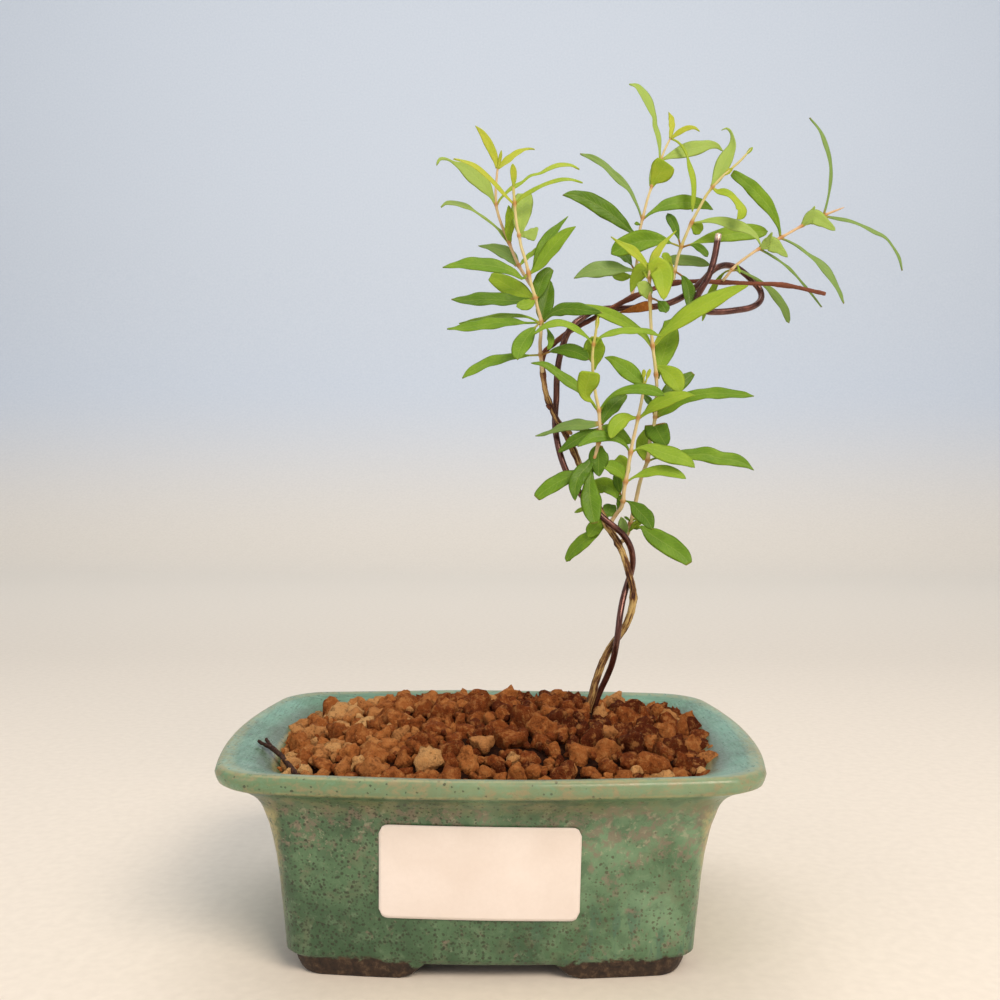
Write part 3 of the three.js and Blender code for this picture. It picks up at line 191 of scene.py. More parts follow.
# The shoots, and last the trunk's own joint. The entries are
#   name / radius at the foot and the tip / front places of the stem;
#   joint / its x and z;
#   leaf / how far its tip lies beyond its joint, turn of its upper face in degrees from the
#     viewpoint to the sky, tone / x and z of points along it / widths along it / its foot.
# A leaf with a single width is lance-shaped, and its two points are its middle and its tip. The
# foot is given only where the leaf doesn't leave the stem at the middle of its joint.
SHOOTS = read_shoots("""
a1 / 0.5 0.34 / 11.5 182.2 -4.7, 8.6 186.6 -2.5, 6.4 190.5 -1.4, 4.3 195.6 -0.5, 1.6 202 0.5,
  0.4 206.6 1, 0.3 211 1.2, 0.5 214 1.3, 0.9 217.8 1.4;
joint / 0.8 217;
leaf / -2 15 yellow / 0.2 219.2, -0.7 221.6, -2.2 224.5, -3.9 227.2, -5.8 229.2 / 0.8 1.7 2.4 2.6
  2.4 1.6 0.2;
leaf / 3 40 yellow / 3.2 218.9, 5.5 220.8, 8 222.2, 10.2 222.7, 11.7 222.5 / 0.6 1.7 2 1.8 1.3 0.8
  0.2;
joint / 0.4 206.6;
leaf / -4 25 pale / -1.2 209.4, -4.4 213.4, -8.2 216.6, -11.6 218.3, -14.2 219.6, -16.2 219.6,
  -17.2 217.8 / 0.5 1.4 3.6 4.6 5.2 4.4 1.6 0.5 1.2 0.5;
leaf / 5 70 young / 1.6 208.2, 3 209.6, 5 211.3, 8 213, 10.5 214.9, 13.5 215.7, 15.8 216.9,
  18.4 217.9, 20.8 218.1, 23 217.8, 24.9 216.8 / 0.6 0.6 0.9 1.3 0.8 1 0.7 1 1.4 1.5 1 0.2;
joint / 4.3 195.6;
leaf / 6 62 pale / 2.2 198.3, 0.5 200, -2 202, -5 204, -7.4 205.5, -9.4 206.3, -12 206.9,
  -14.4 206.9, -15.9 205.7 / 0.8 1.2 0.8 0.7 0.7 0.9 0.8 1.6 1.8 1.2 0.2;
leaf / -5.04 20 olive / 4.2 198, 4.5 201.5, 4.1 206.4 / 0.8 2.2 2.8 2.9 2.4 0.4;
joint / 7.2 189;
leaf / 5.9958 20 grey / 4.8 191.5, 2.4 193.1, -1 194.2, -4.8 194.6 / 1.5 3.2 3.9 3.5 2.5 1.4 0.3;
leaf / 3.0132 62 light / 10.8 192, 12.8 193.6, 15 195 / 0.5 1.3 1.5 1.2 0.3;
a2 / 0.58 0.4 / 14.5 157.6 -1.2, 14.2 160 -2.4, 13.9 163 -3.4, 13.7 166 -3.8, 13.9 169 -4,
  13.9 173 -4.2, 12.9 176.5 -4.4, 12.2 179.4 -4.6, 10.8 184 -5, 9.3 190 -5.4, 7.9 194.5 -5.8,
  7.3 197.5 -6, 6.5 201 -6.2, 5.9 206.5 -6.6, 5.5 211.5 -6.8, 5.3 218 -7;
joint / 5.9 206.9;
leaf / -3 68 yellow / 3 209.3, 0.5 212, -2.5 215, -6 217.7, -9.5 219.1, -12.2 219.7 / 0.6 0.8 1.2
  1.4 1.4 1.3 1 0.2;
leaf / -5 66 young / 8 208.8, 10.5 210.3, 13.5 211.9, 17 213.2, 20 213.9, 23 213.8, 25.9 213 / 0.7
  1.1 1.2 1.2 1.1 1.1 0.9 0.2;
joint / 7.3 197.6;
leaf / 5.662 10 pale / 7.6 200.6, 8 204.6, 8.6 209.8 / 1 3 4.8 5.8 6.4 6 4.4;
leaf / -2.0479 35 pale / 9 198, 12.6 198 / 1 1.6 2.4 3.2 3.8 3.4;
joint / 10.2 186.6;
leaf / -4 35 mid / 8.5 185.2, 5.5 187, 1.5 188.4, -3 189, -8 189.3, -12 188.9, -15.4 188.3 / 0.6 1.2
  2.4 3.6 4 3.6 3 1.8 0.2;
leaf / 6 20 mid / 11.9 188, 13.9 192.6, 16.2 197, 18.9 200.4, 21.7 203.3 / 0.7 2 3.4 4.2 3.8 2.2 1.3
  0.2;
leaf / -3 25 0.5 / 12.6 188.3, 15.6 192.4, 18.9 196.2, 21.4 198.6, 24 200.4 / 0.7 2.2 3.6 4.4 4.6
  3.8 2.2 0.4;
joint / 12.2 179.4;
leaf / 7.4613 10 olive / 9.5 180.2, 6 181.9, 3 183.6, 0.5 184.9, -1.3 185.6 / 1.2 4 5.6 5.8 5.4 4.4
  2.4;
leaf / 3.7681 10 0.8 / 13.6 183, 14.9 186, 17 188 / 0.8 3.6 4.7 4.6 3.8 1.6;
leaf / -2.3637 20 light / 10.2 177.8, 6.6 177 / 0.8 2.4 3.2 3.4 2.6 1;
leaf / -1 35 dark / 8 178.7, 3 178.8, -3 179, -8 178.7, -12.8 179 / 0.6 1.4 3.2 3.7 3.9 3.6 2.4 0.2;
joint / 13.9 172.4;
leaf / 6 45 light / 10 173.9, 5 174.3, 0 173.7, -5 172.9, -10.5 171.9 / 0.5 0.6 1.4 2 1.8 1.2 0.2;
leaf / -3 40 mid / 9.7 172.2, 5.4 172.5, 0 172.1, -5.5 171.3, -10.2 170.6, -14.1 170.3 / 0.5 0.6 2
  3.2 3.4 3 2 0.3;
leaf / -8.8873 25 dark / 17 175, 20.5 176.3, 24 176.3, 28 175.8, 32 175.3 / 0.5 1.6 3.4 4 3.6 2.6
  0.4;
leaf / 4.0272 5 dark / 14.6 175.5, 15.4 179, 16 182, 16.6 184.6 / 1.5 4 5 5.2 4.6 3.4 0.8;
leaf / -9 10 mid / 8.8 166.6, 7 161.4 / 5;
leaf / -6 20 mid / 16.6 168.6, 16 164.4 / 2.2;
joint / 13.9 162.8;
leaf / -4 35 mid / 0.5 161, -9.5 155.8 / 3.6;
leaf / -8 25 dark / 21.5 164.3, 28.4 161.5 / 4.2;
b / 0.5 0.3 / 40.8 179.9 2.4, 41.4 183 3.2, 42 188 3.6, 42.5 193 4, 43 199.5 4.2, 43.8 203 4.2,
  45 208 4.4, 46.2 211.8 4.6, 47.5 216 4.8, 48.9 219.8 5, 50.3 223.4 5.3, 51.9 226.4 5.6;
joint / 51.6 225.8;
leaf / 2 20 yellow / 51.9 229, 51.7 231.5, 50.9 233.3 / 0.7 1.4 1.9 1.7 0.2;
leaf / -3 30 yellow / 54 227.5, 56.3 228.7, 58.5 228.9, 60.1 227.9 / 0.6 1.4 1.8 1.5 1 0.2;
leaf / -4 35 young / 53.5 225, 55.3 223.3, 56.5 221, 57.3 218, 58.3 214.5, 58.7 211, 58.6 208,
  58.4 204.8 / 0.5 0.6 0.9 0.6 1.7 2 1.6 1.3 1.4 0.3;
joint / 48.9 219.8;
leaf / 4 50 pale / 48.3 223.5, 47.8 226.5, 46.8 229.5, 46.6 231.6, 45.6 234, 44.5 236.4, 43 238.8,
  41.4 240.6, 39.2 241.2 / 0.6 0.7 1.2 1.5 1.7 1.5 2 2.7 2.7 1.8 0.2;
leaf / 6 20 pale / 51.5 220.7, 54.4 221.7, 57.4 222.7, 60.4 223.4, 63 224, 65.3 223.7, 67.2 222.1 /
  0.6 1.6 3.2 4.4 4.5 3.8 2.8 1.6 0.2;
joint / 46.3 211.9;
leaf / 5.6953 10 pale / 46.9 214.6, 47.5 217.4, 48.6 220.4 / 1 2.6 3.2 3 1.8 0.4;
leaf / -4.3499 10 young / 47 213.4, 48.8 216, 50.6 219 / 0.6 2 4.2 6.2 7.2 7 5.6;
joint / 43.8 202.8;
leaf / 3 35 grey / 42.5 205.6, 41 208.6, 39.4 211.2, 37 213.6, 34.4 215.9, 31.8 218.2, 28.6 220.1,
  25 221.3 / 0.6 0.6 0.9 1.6 2.1 2.1 2.2 1.8 1.4 0.5;
leaf / 4 25 mid / 46 204.3, 49 205.9, 52 206.9, 55.5 207.4, 59 207.2, 62 206.7, 64.5 205.4 / 0.6 0.9
  2.2 3.6 4.2 4.3 3.6 2.4 0.5;
joint / 42.9 197.8;
leaf / -3 20 dark / 40.6 198.9, 37.5 201.6, 34 204.4, 30 206.8, 26 208.6, 23 209.5, 20 209.4 / 0.7
  1.6 3.4 4.6 5.2 4.8 4 2.8 0.3;
joint / 42 187.6;
leaf / -2 25 grey / 39.4 187.9, 36 188.2, 31.5 188, 27.3 187, 23.6 185.3 / 0.6 1.6 3.8 4.9 5 4 2.4
  0.2;
leaf / 8 20 dark / 39 191.4, 35.4 194.4 / 3.6;
leaf / 6 20 olive / 39.6 185.8, 35 186.2 / 2.8;
leaf / 5 25 grey / 53 190.6, 64 189.4 / 3.4;
c / 0.53 0.32 / 53.2 184.8 2.2, 53.4 187 1.8, 53.9 189.5 1.2, 54.4 191.8 0.8, 55.2 194.2 0.3,
  56.2 197 -0.2, 58.3 201.8 -1, 60.5 206 -2, 62.6 209.8 -2.6, 64.3 212 -3, 67 214.9 -3.6,
  70 217.5 -4.2, 72.5 219.8 -4.4, 75.5 223.2 -4.6;
joint / 64.2 211.9;
leaf / 3 15 pale / 65.3 214, 66.8 217.5, 68.5 221, 69.8 224, 69.7 226.6, 69 228.1, 67.9 228.8,
  66.5 228.2 / 0.7 2.6 3.8 4.5 4.4 3.3 2.2 0.9 0.8 0.2;
leaf / -5 35 young / 65.7 210.7, 67.7 210.5, 69.5 209.7, 70.9 208.4, 72.3 206.6, 72.9 204.8,
  71.7 202.7 / 0.6 1.4 2.2 2 1.5 1.9 3.1 3 0.5;
joint / 58.3 201.7;
leaf / -4 30 pale / 61 201.9, 64 202.3, 67.5 202, 70.5 201, 73.4 200.2, 76 198.9, 78 196.9, 79 194.8
  / 0.5 0.7 1.5 2.4 3 3.3 2.8 1.8 0.9 0.2;
leaf / 1.8288 10 light / 58.6 201.2, 59.8 200.2, 61.2 199 / 0.8 2.6 4 3.6 1.8;
joint / 55.3 194.6;
leaf / 0 20 mid / 45 196.4, 34.5 192.4 / 6.4;
leaf / 6 20 0.48 / 68 198, 80.8 199.2 / 5;
leaf / -4 30 dark / 59.6 194.9, 63.2 191.8 / 2.4;
leaf / 8 10 dark / 53.4 200, 51.1 204.2 / 2.8;
joint / 53.6 187.4;
leaf / -4 30 olive / 51.8 190.9, 49.6 191.8 / 2.6;
leaf / -6 5 dark / 57.1 183.9, 58 177 / 3.8;
d / 0.46 0.34 / 67.8 184.8 1.8, 69 186.2 1, 70.4 188 0.4, 72 189.6 0.2, 75 191.9 0.8,
  77.8 193.8 1.5, 84.7 197.4 3.5, 91 200.9 5.5, 97.3 203.9 7.5, 103.3 206.3 9;
joint / 97.3 203.9;
leaf / 3 50 grey / 98 207, 98.8 212, 98.9 217.5, 97.4 223.5, 95.3 228.4, 92.3 231.9 / 0.6 0.7 0.8
  0.9 1.5 1.1 0.8 0.3;
leaf / -3 50 grey / 101 203, 105 202.3, 109 200.8, 112.4 199.1, 115.5 197.7, 118 194.9, 120 191.6,
  121 188 / 0.6 0.8 1 1.1 1 0.9 0.8 0.8 0.8 0.2;
joint / 91 200.9;
leaf / -1.6671 15 pale / 93.2 204, 94.6 206.6 / 0.8 2 2.3 1.4 0.4;
leaf / -4.7034 20 pale / 94 203.4, 97 202, 100.8 199.6 / 0.8 3.4 4.6 4 2.8 2 0.8;
joint / 84.7 197.4;
leaf / -3 20 mid / 84.2 200, 83 203, 81.2 206, 78.7 209, 75.6 211.9, 72.6 214.3, 69.9 216.1 / 0.7 1
  2.2 3.4 4.2 4.2 3.6 3 1.8;
leaf / -3 45 grey / 87 196.4, 90 194.8, 93 192.5, 96 190.3, 98.6 187.7, 100.7 184.6, 102.6 181.4,
  104 178.3 / 0.5 0.6 0.9 1.5 2 2.2 2.1 1.3 0.3;
joint / 78.6 194.1;
leaf / -2.3153 15 pale / 80.6 196, 82.2 199 / 0.8 1.8 2.1 1.4 0.4;
leaf / -4.0818 15 pale / 81.2 195.6, 83.8 194.4, 86.9 191.8 / 0.8 3.2 4.6 4 2.6 1.8 0.6;
leaf / 6 62 grey / 81 192.8, 84 191, 87.5 188.4, 90 185.9, 92.2 183.4, 95 180.2, 97.4 177.2 / 0.5
  0.6 0.8 0.8 0.7 0.7 0.6 0.2;
joint / 70.4 188;
leaf / 11 30 olive / 66.2 184.4, 62 173 / 2.6;
leaf / 11.8 25 grey / 72.4 187.9, 74.6 187, 78 185.2, 81 183, 84 180, 86.4 176.6, 87.8 172.5 / 0.6
  0.8 0.9 1.1 2.2 2.7 2.3 1;
e / 0.66 0.42 / 38.2 106.6 -3.9, 39.8 108 -2.6, 41 110.6 -2.5, 42 115 -3, 43 119.5 -3.4,
  44 124.5 -3.8, 45.2 128.5 -4.2, 46.3 131.5 -4.5, 47 137.5 -5, 48.2 143 -5.5, 48.5 147 -5.8,
  48.7 154 -6.4, 48.1 160 -7, 47.3 165.5 -7.6, 46.7 172 -8.2, 46.3 179.6 -9, 46 186.5 -9.6,
  45.9 188.6 -9.8;
joint / 45.9 188;
leaf / -2 30 0.1 / 44.5 189.7, 42.5 191.9, 40 193.9, 37 195.7, 34.4 197.5 / 0.6 1.5 2.4 2.6 1.8 0.9
  0.2;
leaf / 2 35 0.1 / 47 190.5, 48.2 193, 50 195.5, 52 197.6, 53.8 199.3 / 0.6 2.2 2.5 2 1.3 0.7 0.2;
joint / 46.1 185.4;
leaf / 4.8481 10 0.26 / 45.2 188.2, 43.6 187.6, 41.9 185.1, 40.5 181.3 / 1 3.4 4.6 3.8 2.4 0.4;
leaf / -4 5 0.24 / 48.2 188.9, 49.6 187.1, 50.1 183.5, 50.4 179.2 / 1 4.6 6.5 6.6 5.4 3.6 1;
joint / 46.3 179.6;
leaf / -2.123 20 pale / 45.2 181.6, 43.9 182.9, 42.4 183.9 / 1.4 3.4 4.2 3.6 0.6;
leaf / -3 10 dark / 49.4 178.2, 51.2 175.4 / 3.2;
joint / 47.3 165.6;
leaf / 8 30 light / 44.6 168.8, 41 171.3, 37 173.4, 33 175.1, 28.5 176.8, 24.4 177.8 / 0.7 1.6 2.4
  3.4 3.8 3.2 1.8 0.2;
leaf / -5 30 0.33 / 50 168.8, 54.5 172.6, 60 176.4, 66 179.6, 71 182, 75.4 183.4 / 0.7 2 3.8 5 5.2
  4.4 2.8 0.4;
joint / 48.6 157.2;
leaf / 8 5 0.5 / 49.2 158.6, 50.1 161.5, 51.1 164.8, 52 168, 52.1 171, 51.6 173.2 / 0.8 2.2 4 5.6
  6.4 6.7 6.2 4.8 2.2 / 48.7 155.8;
leaf / -4 10 olive / 49.6 159.2, 51.6 158, 53.4 156.4, 54.8 154.2, 55.7 151.8 / 0.8 2.2 4.2 5.6 6
  5.4 3.8 1.2 / 48.2 159.4;
joint / 48.4 144.6;
leaf / -4 25 mid / 50.2 145.9, 52.6 147.7, 56 149.6, 60 151, 65 151.7, 70 151.6, 74.5 151.3,
  77.9 150.9 / 1 3.6 4 3.5 3.2 3.4 3.3 3.1 2.6 1.8 0.3;
leaf / 6 10 dark / 50.3 149, 52.6 152, 55.2 154.4, 57.6 156, 59.5 157.6 / 0.8 2.5 3.6 4.4 4.8 4.6
  3.6 1.6;
leaf / 6 20 dark / 46.8 148.6, 44.8 151.2 / 2;
leaf / -3.4368 0 dark / 48.7 141.4, 49.8 139.4, 51.9 136 / 5.4 6.8 7 6.4 5.4 4 2 / 48.1 142.5;
joint / 46.3 131.5;
leaf / -3 20 mid / 48.5 132.2, 52 132.6, 56 133.2, 60 133.4, 64 133.4, 68 132.3, 72 131.8,
  75.5 130.7, 78.4 128.8 / 0.6 0.6 1.6 2.8 3.6 4.3 4.4 4.3 3.8 2.4 0.2;
leaf / 4.2209 10 olive / 45.6 134, 45.1 137.2, 45.6 141 / 1.6 4.2 5.2 4.4 2.8 0.8;
joint / 41.5 112.6;
leaf / -7 20 0.7 / 42.8 110.9, 44.6 111.5, 47 109.8, 50 107.8, 53 106, 56 104, 58.2 102, 59.4 100.4
  / 0.5 0.5 1.4 3.8 5.4 6.1 6.1 5.8 5.1 4 2.2;
leaf / -4 20 light / 43.4 112.6, 45 112.9 / 1.6;
f / 0.66 0.42 / 34.9 111.6 -4.6, 36.2 114 -4, 37.4 115.8 -4.6, 38.6 117.4 -5.6, 39.1 119.3 -6.4,
  39.3 122 -7.2, 39.8 125 -7.8, 40.5 129 -8.4, 41.2 134 -9, 41.8 137.5 -9.4, 42.5 140.5 -9.7,
  43.3 144.4 -10, 44 148 -10.3, 44.6 151.5 -10.6, 45.1 154.8 -10.9;
joint / 45 154.2;
leaf / -1 10 yellow / 44.8 156.8, 44.8 158.7 / 1.2;
leaf / 1 10 yellow / 46 156.8, 46.7 158.8 / 1.2;
leaf / 3 15 0.6 / 43.4 155.4, 41.6 157, 39.4 158.8, 37 160.4, 35 161.6, 33 162.2 / 0.8 3.4 4.7 4.9
  4.2 3.4 2 0.3;
joint / 43.3 144.4;
leaf / -4 10 olive / 42 144.3, 40 144.3, 38 143.3, 36.4 141.6, 35.1 138.1 / 0.6 1.4 3.2 4.6 4.8 4.2
  3 0.8;
leaf / -4 25 olive / 45.3 145.6, 48 147.8, 51 149.4, 54.5 150.6, 58 151.2, 60.3 151 / 0.7 1.2 2.8 4
  4.3 3.9 3 1.8 0.2;
joint / 41.2 134.1;
leaf / -6 25 0.7 / 40 135.7, 38.4 137.1, 36 138.2, 33 138.8, 30 138.4, 27.4 137, 25.2 135.7 / 0.5
  0.9 1.5 2.2 3 3.4 3.3 2.2 0.5;
leaf / -3 25 light / 42.4 134.6, 44.2 135.4, 47 135.3, 50 134.2, 53 133.3, 56 132.3, 58.5 131.2,
  60.6 129.5 / 0.5 0.7 2.6 4 4.9 4.9 4.2 3 0.5;
joint / 39.8 125.2;
leaf / 4.2107 10 olive / 39.8 128.4, 38.9 130.4, 36.8 132.1 / 0.6 1.4 2.8 4 4.4 3;
leaf / -2 20 0.56 / 39 126.9, 37.4 128.6, 35.6 129.6, 33.2 130 / 0.8 2 3.6 4.3 4.3 3.6 2;
leaf / -3 30 light / 42 126.4, 44 127.1, 46.5 127.8, 49 128.4, 52 128.3, 55 127.6, 58 126.2 / 0.4
  0.6 1.4 2.6 3 3.2 3.2 3 2.4 0.5;
joint / 39.1 119.4;
leaf / -6 10 dark / 40.4 119.3, 42.2 118.2, 44.3 116, 46.4 113.8, 48.2 110.8 / 0.5 0.6 2.8 4.5 5.1
  5.2 4.6 3.2 0.8;
leaf / 4.993 20 0.56 / 37.4 120.5, 36 122.6, 34 123.9, 31.9 123.8, 30 123.6 / 0.6 1.6 3.6 4.6 4.9
  4.6 3.4;
leaf / 5 10 dark / 37.6 124.2, 37 127.8 / 2.8;
g / 0.62 0.38 / 28.3 124.6 -4.8, 29 127 -7.2, 29.7 129.8 -8.2, 30.2 132 -8.6, 31.2 135.5 -9,
  31.9 140 -9.4, 31.7 144 -9.7, 31.4 147 -10, 30.5 151 -10.4, 29.9 154.5 -10.7, 29.5 159 -11,
  29.4 163 -11.3, 29.7 166.2 -11.6, 30.2 169 -11.8, 30.8 174 -12;
joint / 29.7 166;
leaf / 2 55 light / 28.4 167.4, 25.6 169.6, 22.4 171.5, 19.3 172.2, 16 171.5, 13.6 170.2, 11.8 168.8
  / 0.5 1 1.7 2 2.1 2 1.5 0.3;
leaf / -2 45 light / 31.5 167.9, 34 169, 38 170, 42 170.1, 46 169.8, 49.9 168.3 / 0.5 1.1 1.9 2.1 2
  1.5 0.3;
leaf / 4.44 0 light / 30 165.6, 30.2 162.4, 30.2 158.4 / 2.4 5.2 6.4 6.3 5.2 3.4 1.3 0.3 /
  29.8 168.4;
joint / 31.4 146.4;
leaf / -7 35 mid / 32.3 147.3, 33.8 149.5, 36 151.2, 39 152.3, 42 152.7, 45 152.7, 48 152.1,
  51.2 150.9 / 0.7 0.7 0.9 1.4 2.1 2.9 3.4 3.3 2.5 0.3;
leaf / 0 25 mid / 30.4 147.2, 28.8 149.6, 26.6 151.8, 24 153.9, 21 156, 18 158.2, 15 160, 11 160.4 /
  0.5 0.6 1.4 2.4 2.9 2.8 2.5 2.1 1.5 0.3;
leaf / -6.3464 10 0.26 / 29.8 148.6, 27.8 150.4, 27.4 152.6, 28.2 155.4, 28.7 158 / 0.5 0.5 0.9 2.8
  4.6 6 6.5 5.6;
leaf / 3 15 dark / 32.6 143.2, 33.8 145.4, 35.4 147.6, 37.4 149.4, 39.9 151 / 0.8 2 3.5 4.3 4.5 3.9
  2.8 0.8 / 32 142;
leaf / 8.5077 25 grey / 30.4 142.3, 27.5 142, 24 142, 20.5 141.4, 17.5 140.2, 15 139.3, 12.5 138.7 /
  1 2.6 3.3 3.4 3 2 1.4 1.2 0.3 / 31.8 142.6;
joint / 31.6 137;
leaf / 3 20 dark / 29 139.9, 26.5 138.6, 24 137.2, 21.5 135.4, 19.4 133.9 / 1.2 1.8 2.9 3.5 3.5 2.9
  1.8 0.6 / 31.9 140.6;
leaf / 5 20 0.7 / 33.4 141.2, 35.8 140.6, 38.5 139.2, 41 136.6 / 1.2 2.6 3.2 3.2 2.6 1.2 / 31.9 141;
joint / 30.3 132.4;
leaf / -6.8192 5 dark / 28.4 130, 26.4 127.8, 25 125.2, 24.6 122.5, 24.6 119.4 / 1 2.8 4 4.8 4.9 4.2
  2.6 0.4;
leaf / -1.4161 0 dark / 31.4 134, 31.6 131.6, 31.6 129, 31.8 126.7 / 1.6 4.2 5.6 5.9 5.5 4.4 2.8 0.6
  / 31.3 136.2;
joint / 29.7 129.8;
leaf / -3 25 0.7 / 27.4 128.4, 25 127.6, 22.6 126.6, 19.5 125, 17 123.4, 14.8 121.8, 13 120.1 / 0.6
  1.4 2.4 3.6 4.4 4.6 4.4 3.8 2;
leaf / -8.3225 5 0.75 / 29.2 127, 28.9 124, 29.2 120, 29.8 116.5, 30.7 112.6 / 0.8 1.4 2.8 3.8 5 6
  6.3 5.8 4.4 2;
trunk;
joint / 33 115.2;
leaf / 3 20 mid / 32.4 111.2, 30 109.2, 27.3 107, 25 105, 23.3 103, 22.2 100.9 / 1.2 2.2 3 3.9 4.4
  4.3 3.7 2.7 1.2 / 34.2 112.4;
leaf / 2.9424 10 dark / 33.9 114.6, 34.9 116.4, 35.6 118.3 / 1.2 3 4 4.3 4.2 3 / 33.6 113.6;
leaf / 6 20 light / 29 117, 24.5 115.8 / 1.4;
leaf / 0 10 mid / 31.8 112.2, 30.2 110.6, 28.7 108.4 / 1.2 3.2 4.4 4.4 3.2 1 / 33.6 113.2
""")

# A leaf's points across one face, half thickness of its stalk and its blade, height and width of
# its midrib, half width of its stalk and its pointed tip, the widths of a drawn tip that stays
# blunt, and the half widths between which the stalk becomes the blade.
RIBS = 9
STALK_THICKNESS, BLADE_THICKNESS = 0.28, 0.08
MIDRIB_HEIGHT, MIDRIB_WIDTH = 0.16, 0.26
STALK_WIDTH, TIP_WIDTH, BLUNT_TIP = 0.32, 0.06, 1.5
STALK_TO_BLADE = (0.34, 0.8)

# Small growth that belongs to a joint: shoot, place of the joint, place of the tip, how far the
# tip lies beyond the joint, width, and tone.
BUDS = """
a1 0.8 216.6 1.9 222.3 -1.2 1.1 0.02, a2 5.5 210.6 5.2 218.4 -1.4 2 0.03,
c 67.2 214.8 70.1 217.4 -1 1.5 0.02, c 73.4 220.8 75.8 223.4 0 1.1 0.3,
g 30.4 169.6 30.9 174.4 0 1.3 0.06, b 43.4 200.8 41.4 201.3 -1 1.2 0.6,
d 72 189.4 72.8 186.9 -1.6 0.9 0.4, f 37.3 115.8 38.8 121.2 -2.6 2.5 0.86,
e 40.4 109.6 43.6 113.6 -3 1.5 0.3, e 39.2 107.6 38.6 114.5 -5 3.2 0.72,
e 41.6 113.4 45 115 -3 1.3 0.25, g 28.5 125.4 25.4 126.4 -2 1 0.3, e 41.8 113 39.6 114.6 -2 0.9 0.7,
e 41.2 111.4 44.4 111.6 -2.4 1.1 0.3
"""

# The two prongs of the dry twig: x, y, z and radius.
TWIG = [rows(prong) for prong in """
-47.4 -36.2 47.2 0.9, -52.6 -28.4 50 0.85, -57.9 -20.4 52.2 0.75, -64.2 -14.6 53.7 0.5;
-57.9 -20.4 52.2 0.7, -60.8 -15.6 53 0.6, -62.8 -11 53.5 0.5
""".split(";")]
# The curled dry leaf: front places and widths.
DEAD_LEAF_PLACES = rows("47 177.6 -1, 44 177 -2.6, 41 176.2 -3, 38.4 175.6 -2.4, 36.6 175.2 -1.4")
DEAD_LEAF_WIDTHS = (2.2, 3.0, 3.0, 2.4, 1.6, 0.7, 0.2)

# Pot levels: z, half width, half depth and rimness, as in the CAD part but with more of them.
POT_OUTSIDE = rows("""
0 51.2 43.8 0, 0.25 51.6 44.1 0, 0.8 52 44.4 0, 2.6 52.8 44.7 0, 4.5 53.4 44.9 0, 5 53.9 45 0,
5.3 54.8 45.2 0, 5.8 55.5 45.35 0, 6.6 55.7 45.4 0, 10 55.9 45.5 0, 17 56.4 45.8 0, 25 57 46.2 0,
31 57.7 46.55 0, 36 58.6 47 0, 39 59.2 47.4 0, 41.5 60 47.9 0, 43.2 60.6 48.4 0.05,
44.5 61.2 49 0.1, 45.8 62.4 49.9 0.25, 46.8 63.8 50.8 0.4, 47.8 65.9 52.1 0.6, 48.8 68.3 53.6 0.8,
49.4 70.2 54.9 0.92, 49.8 71.4 55.7 0.98, 50.3 72.3 56.25 1, 51.5 72.8 56.55 1, 52.8 73.1 56.75 1,
53.6 72.9 56.55 1, 54.1 72.5 56.1 1, 54.35 71.9 55.6 1
""")
POT_TOP = rows("""
54.4 71.2 54.9 1, 54.2 70 53.7 1, 53.9 68.6 52.3 1, 53.4 66.9 50.7 1, 52.8 65.2 49.1 1,
52.2 63.6 47.7 1, 51.8 62.7 46.95 1
""")
POT_INSIDE = rows("""
51.2 61.7 46.1 0.95, 50.5 60.7 45.35 0.9, 49 58.6 43.9 0.6, 47 57 42.9 0.5, 45 55.5 42 0.4,
38 53.2 41 0.2, 24 51.5 39.9 0.1, 12 50 38.8 0, 10 48 36.8 0
""")
# Radius of the corners and bow of the walls, on the walls and at the rim.
POT_CORNER = (5, 10)
SIDE_BOW = (4.1, 6.2)
FRONT_BOW = (3.4, 5.8)
# The feet, and how the gaps between them open: from full height to none, along x and y.
FOOT_TOP = 5.0
ARCH_HEIGHT = 3.9
ARCH_FRONT, ARCH_SIDE = (16.5, 21.5), (14.5, 19.5)
DRAIN_HOLES = (-26, 26)
DRAIN_RADIUS = 6
# The attribute glaze_edge: low where the clay is bare, high where the glaze covers it.
BARE, COVERED = -3.0, 9.0

# The label: middle, top edge, size, corner radius, tilt in degrees, how far its back and its face
# stand off the wall, and how far its corners curl away.
LABEL_X, LABEL_TOP, LABEL_WIDTH, LABEL_HEIGHT = -2.6, 40.8, 50.0, 24.4
LABEL_CORNER, LABEL_TILT = 2.3, -0.7
LABEL_BACK, LABEL_FACE, LABEL_CURL = 0.34, 0.52, 0.12

# The soil's levels under the heap, as the pot's, and how far its bed lies below the lumps' level.
SOIL_LEVELS = rows("10.4 47.5 36.3 0, 12.5 49.5 38.3 0, 38 52.7 40.5 0.2, 45 55 41.5 0.4, "
                   "47.6 57 42.8 0.5")
BED_DEPTH = 2.2
# The heap: its half length at the right and the left, half depth, the level of its edge, its
# height over that, and how much it rises over RISE_RUN towards the back.
HEAP_RIGHT, HEAP_LEFT, HEAP_DEPTH, RISE_RUN = 65, 59.5, 45, 43
HEAP_EDGE, HEAP_HEIGHT, HEAP_RISE = 49.6, 9, 2.6
# The lumps: outer limits of their places, and where the finer and the front ones begin.
LUMPS_X, LUMPS_Y = (-61, 63), (-46, 46)
NEAR_Y, FRONT_Y = -12, -30
# x, y and radius of what stands in the soil: the trunk and the wire.
STANDING = [(29.2, 16.5, 1.8), (31.3, 19, 1.5)]
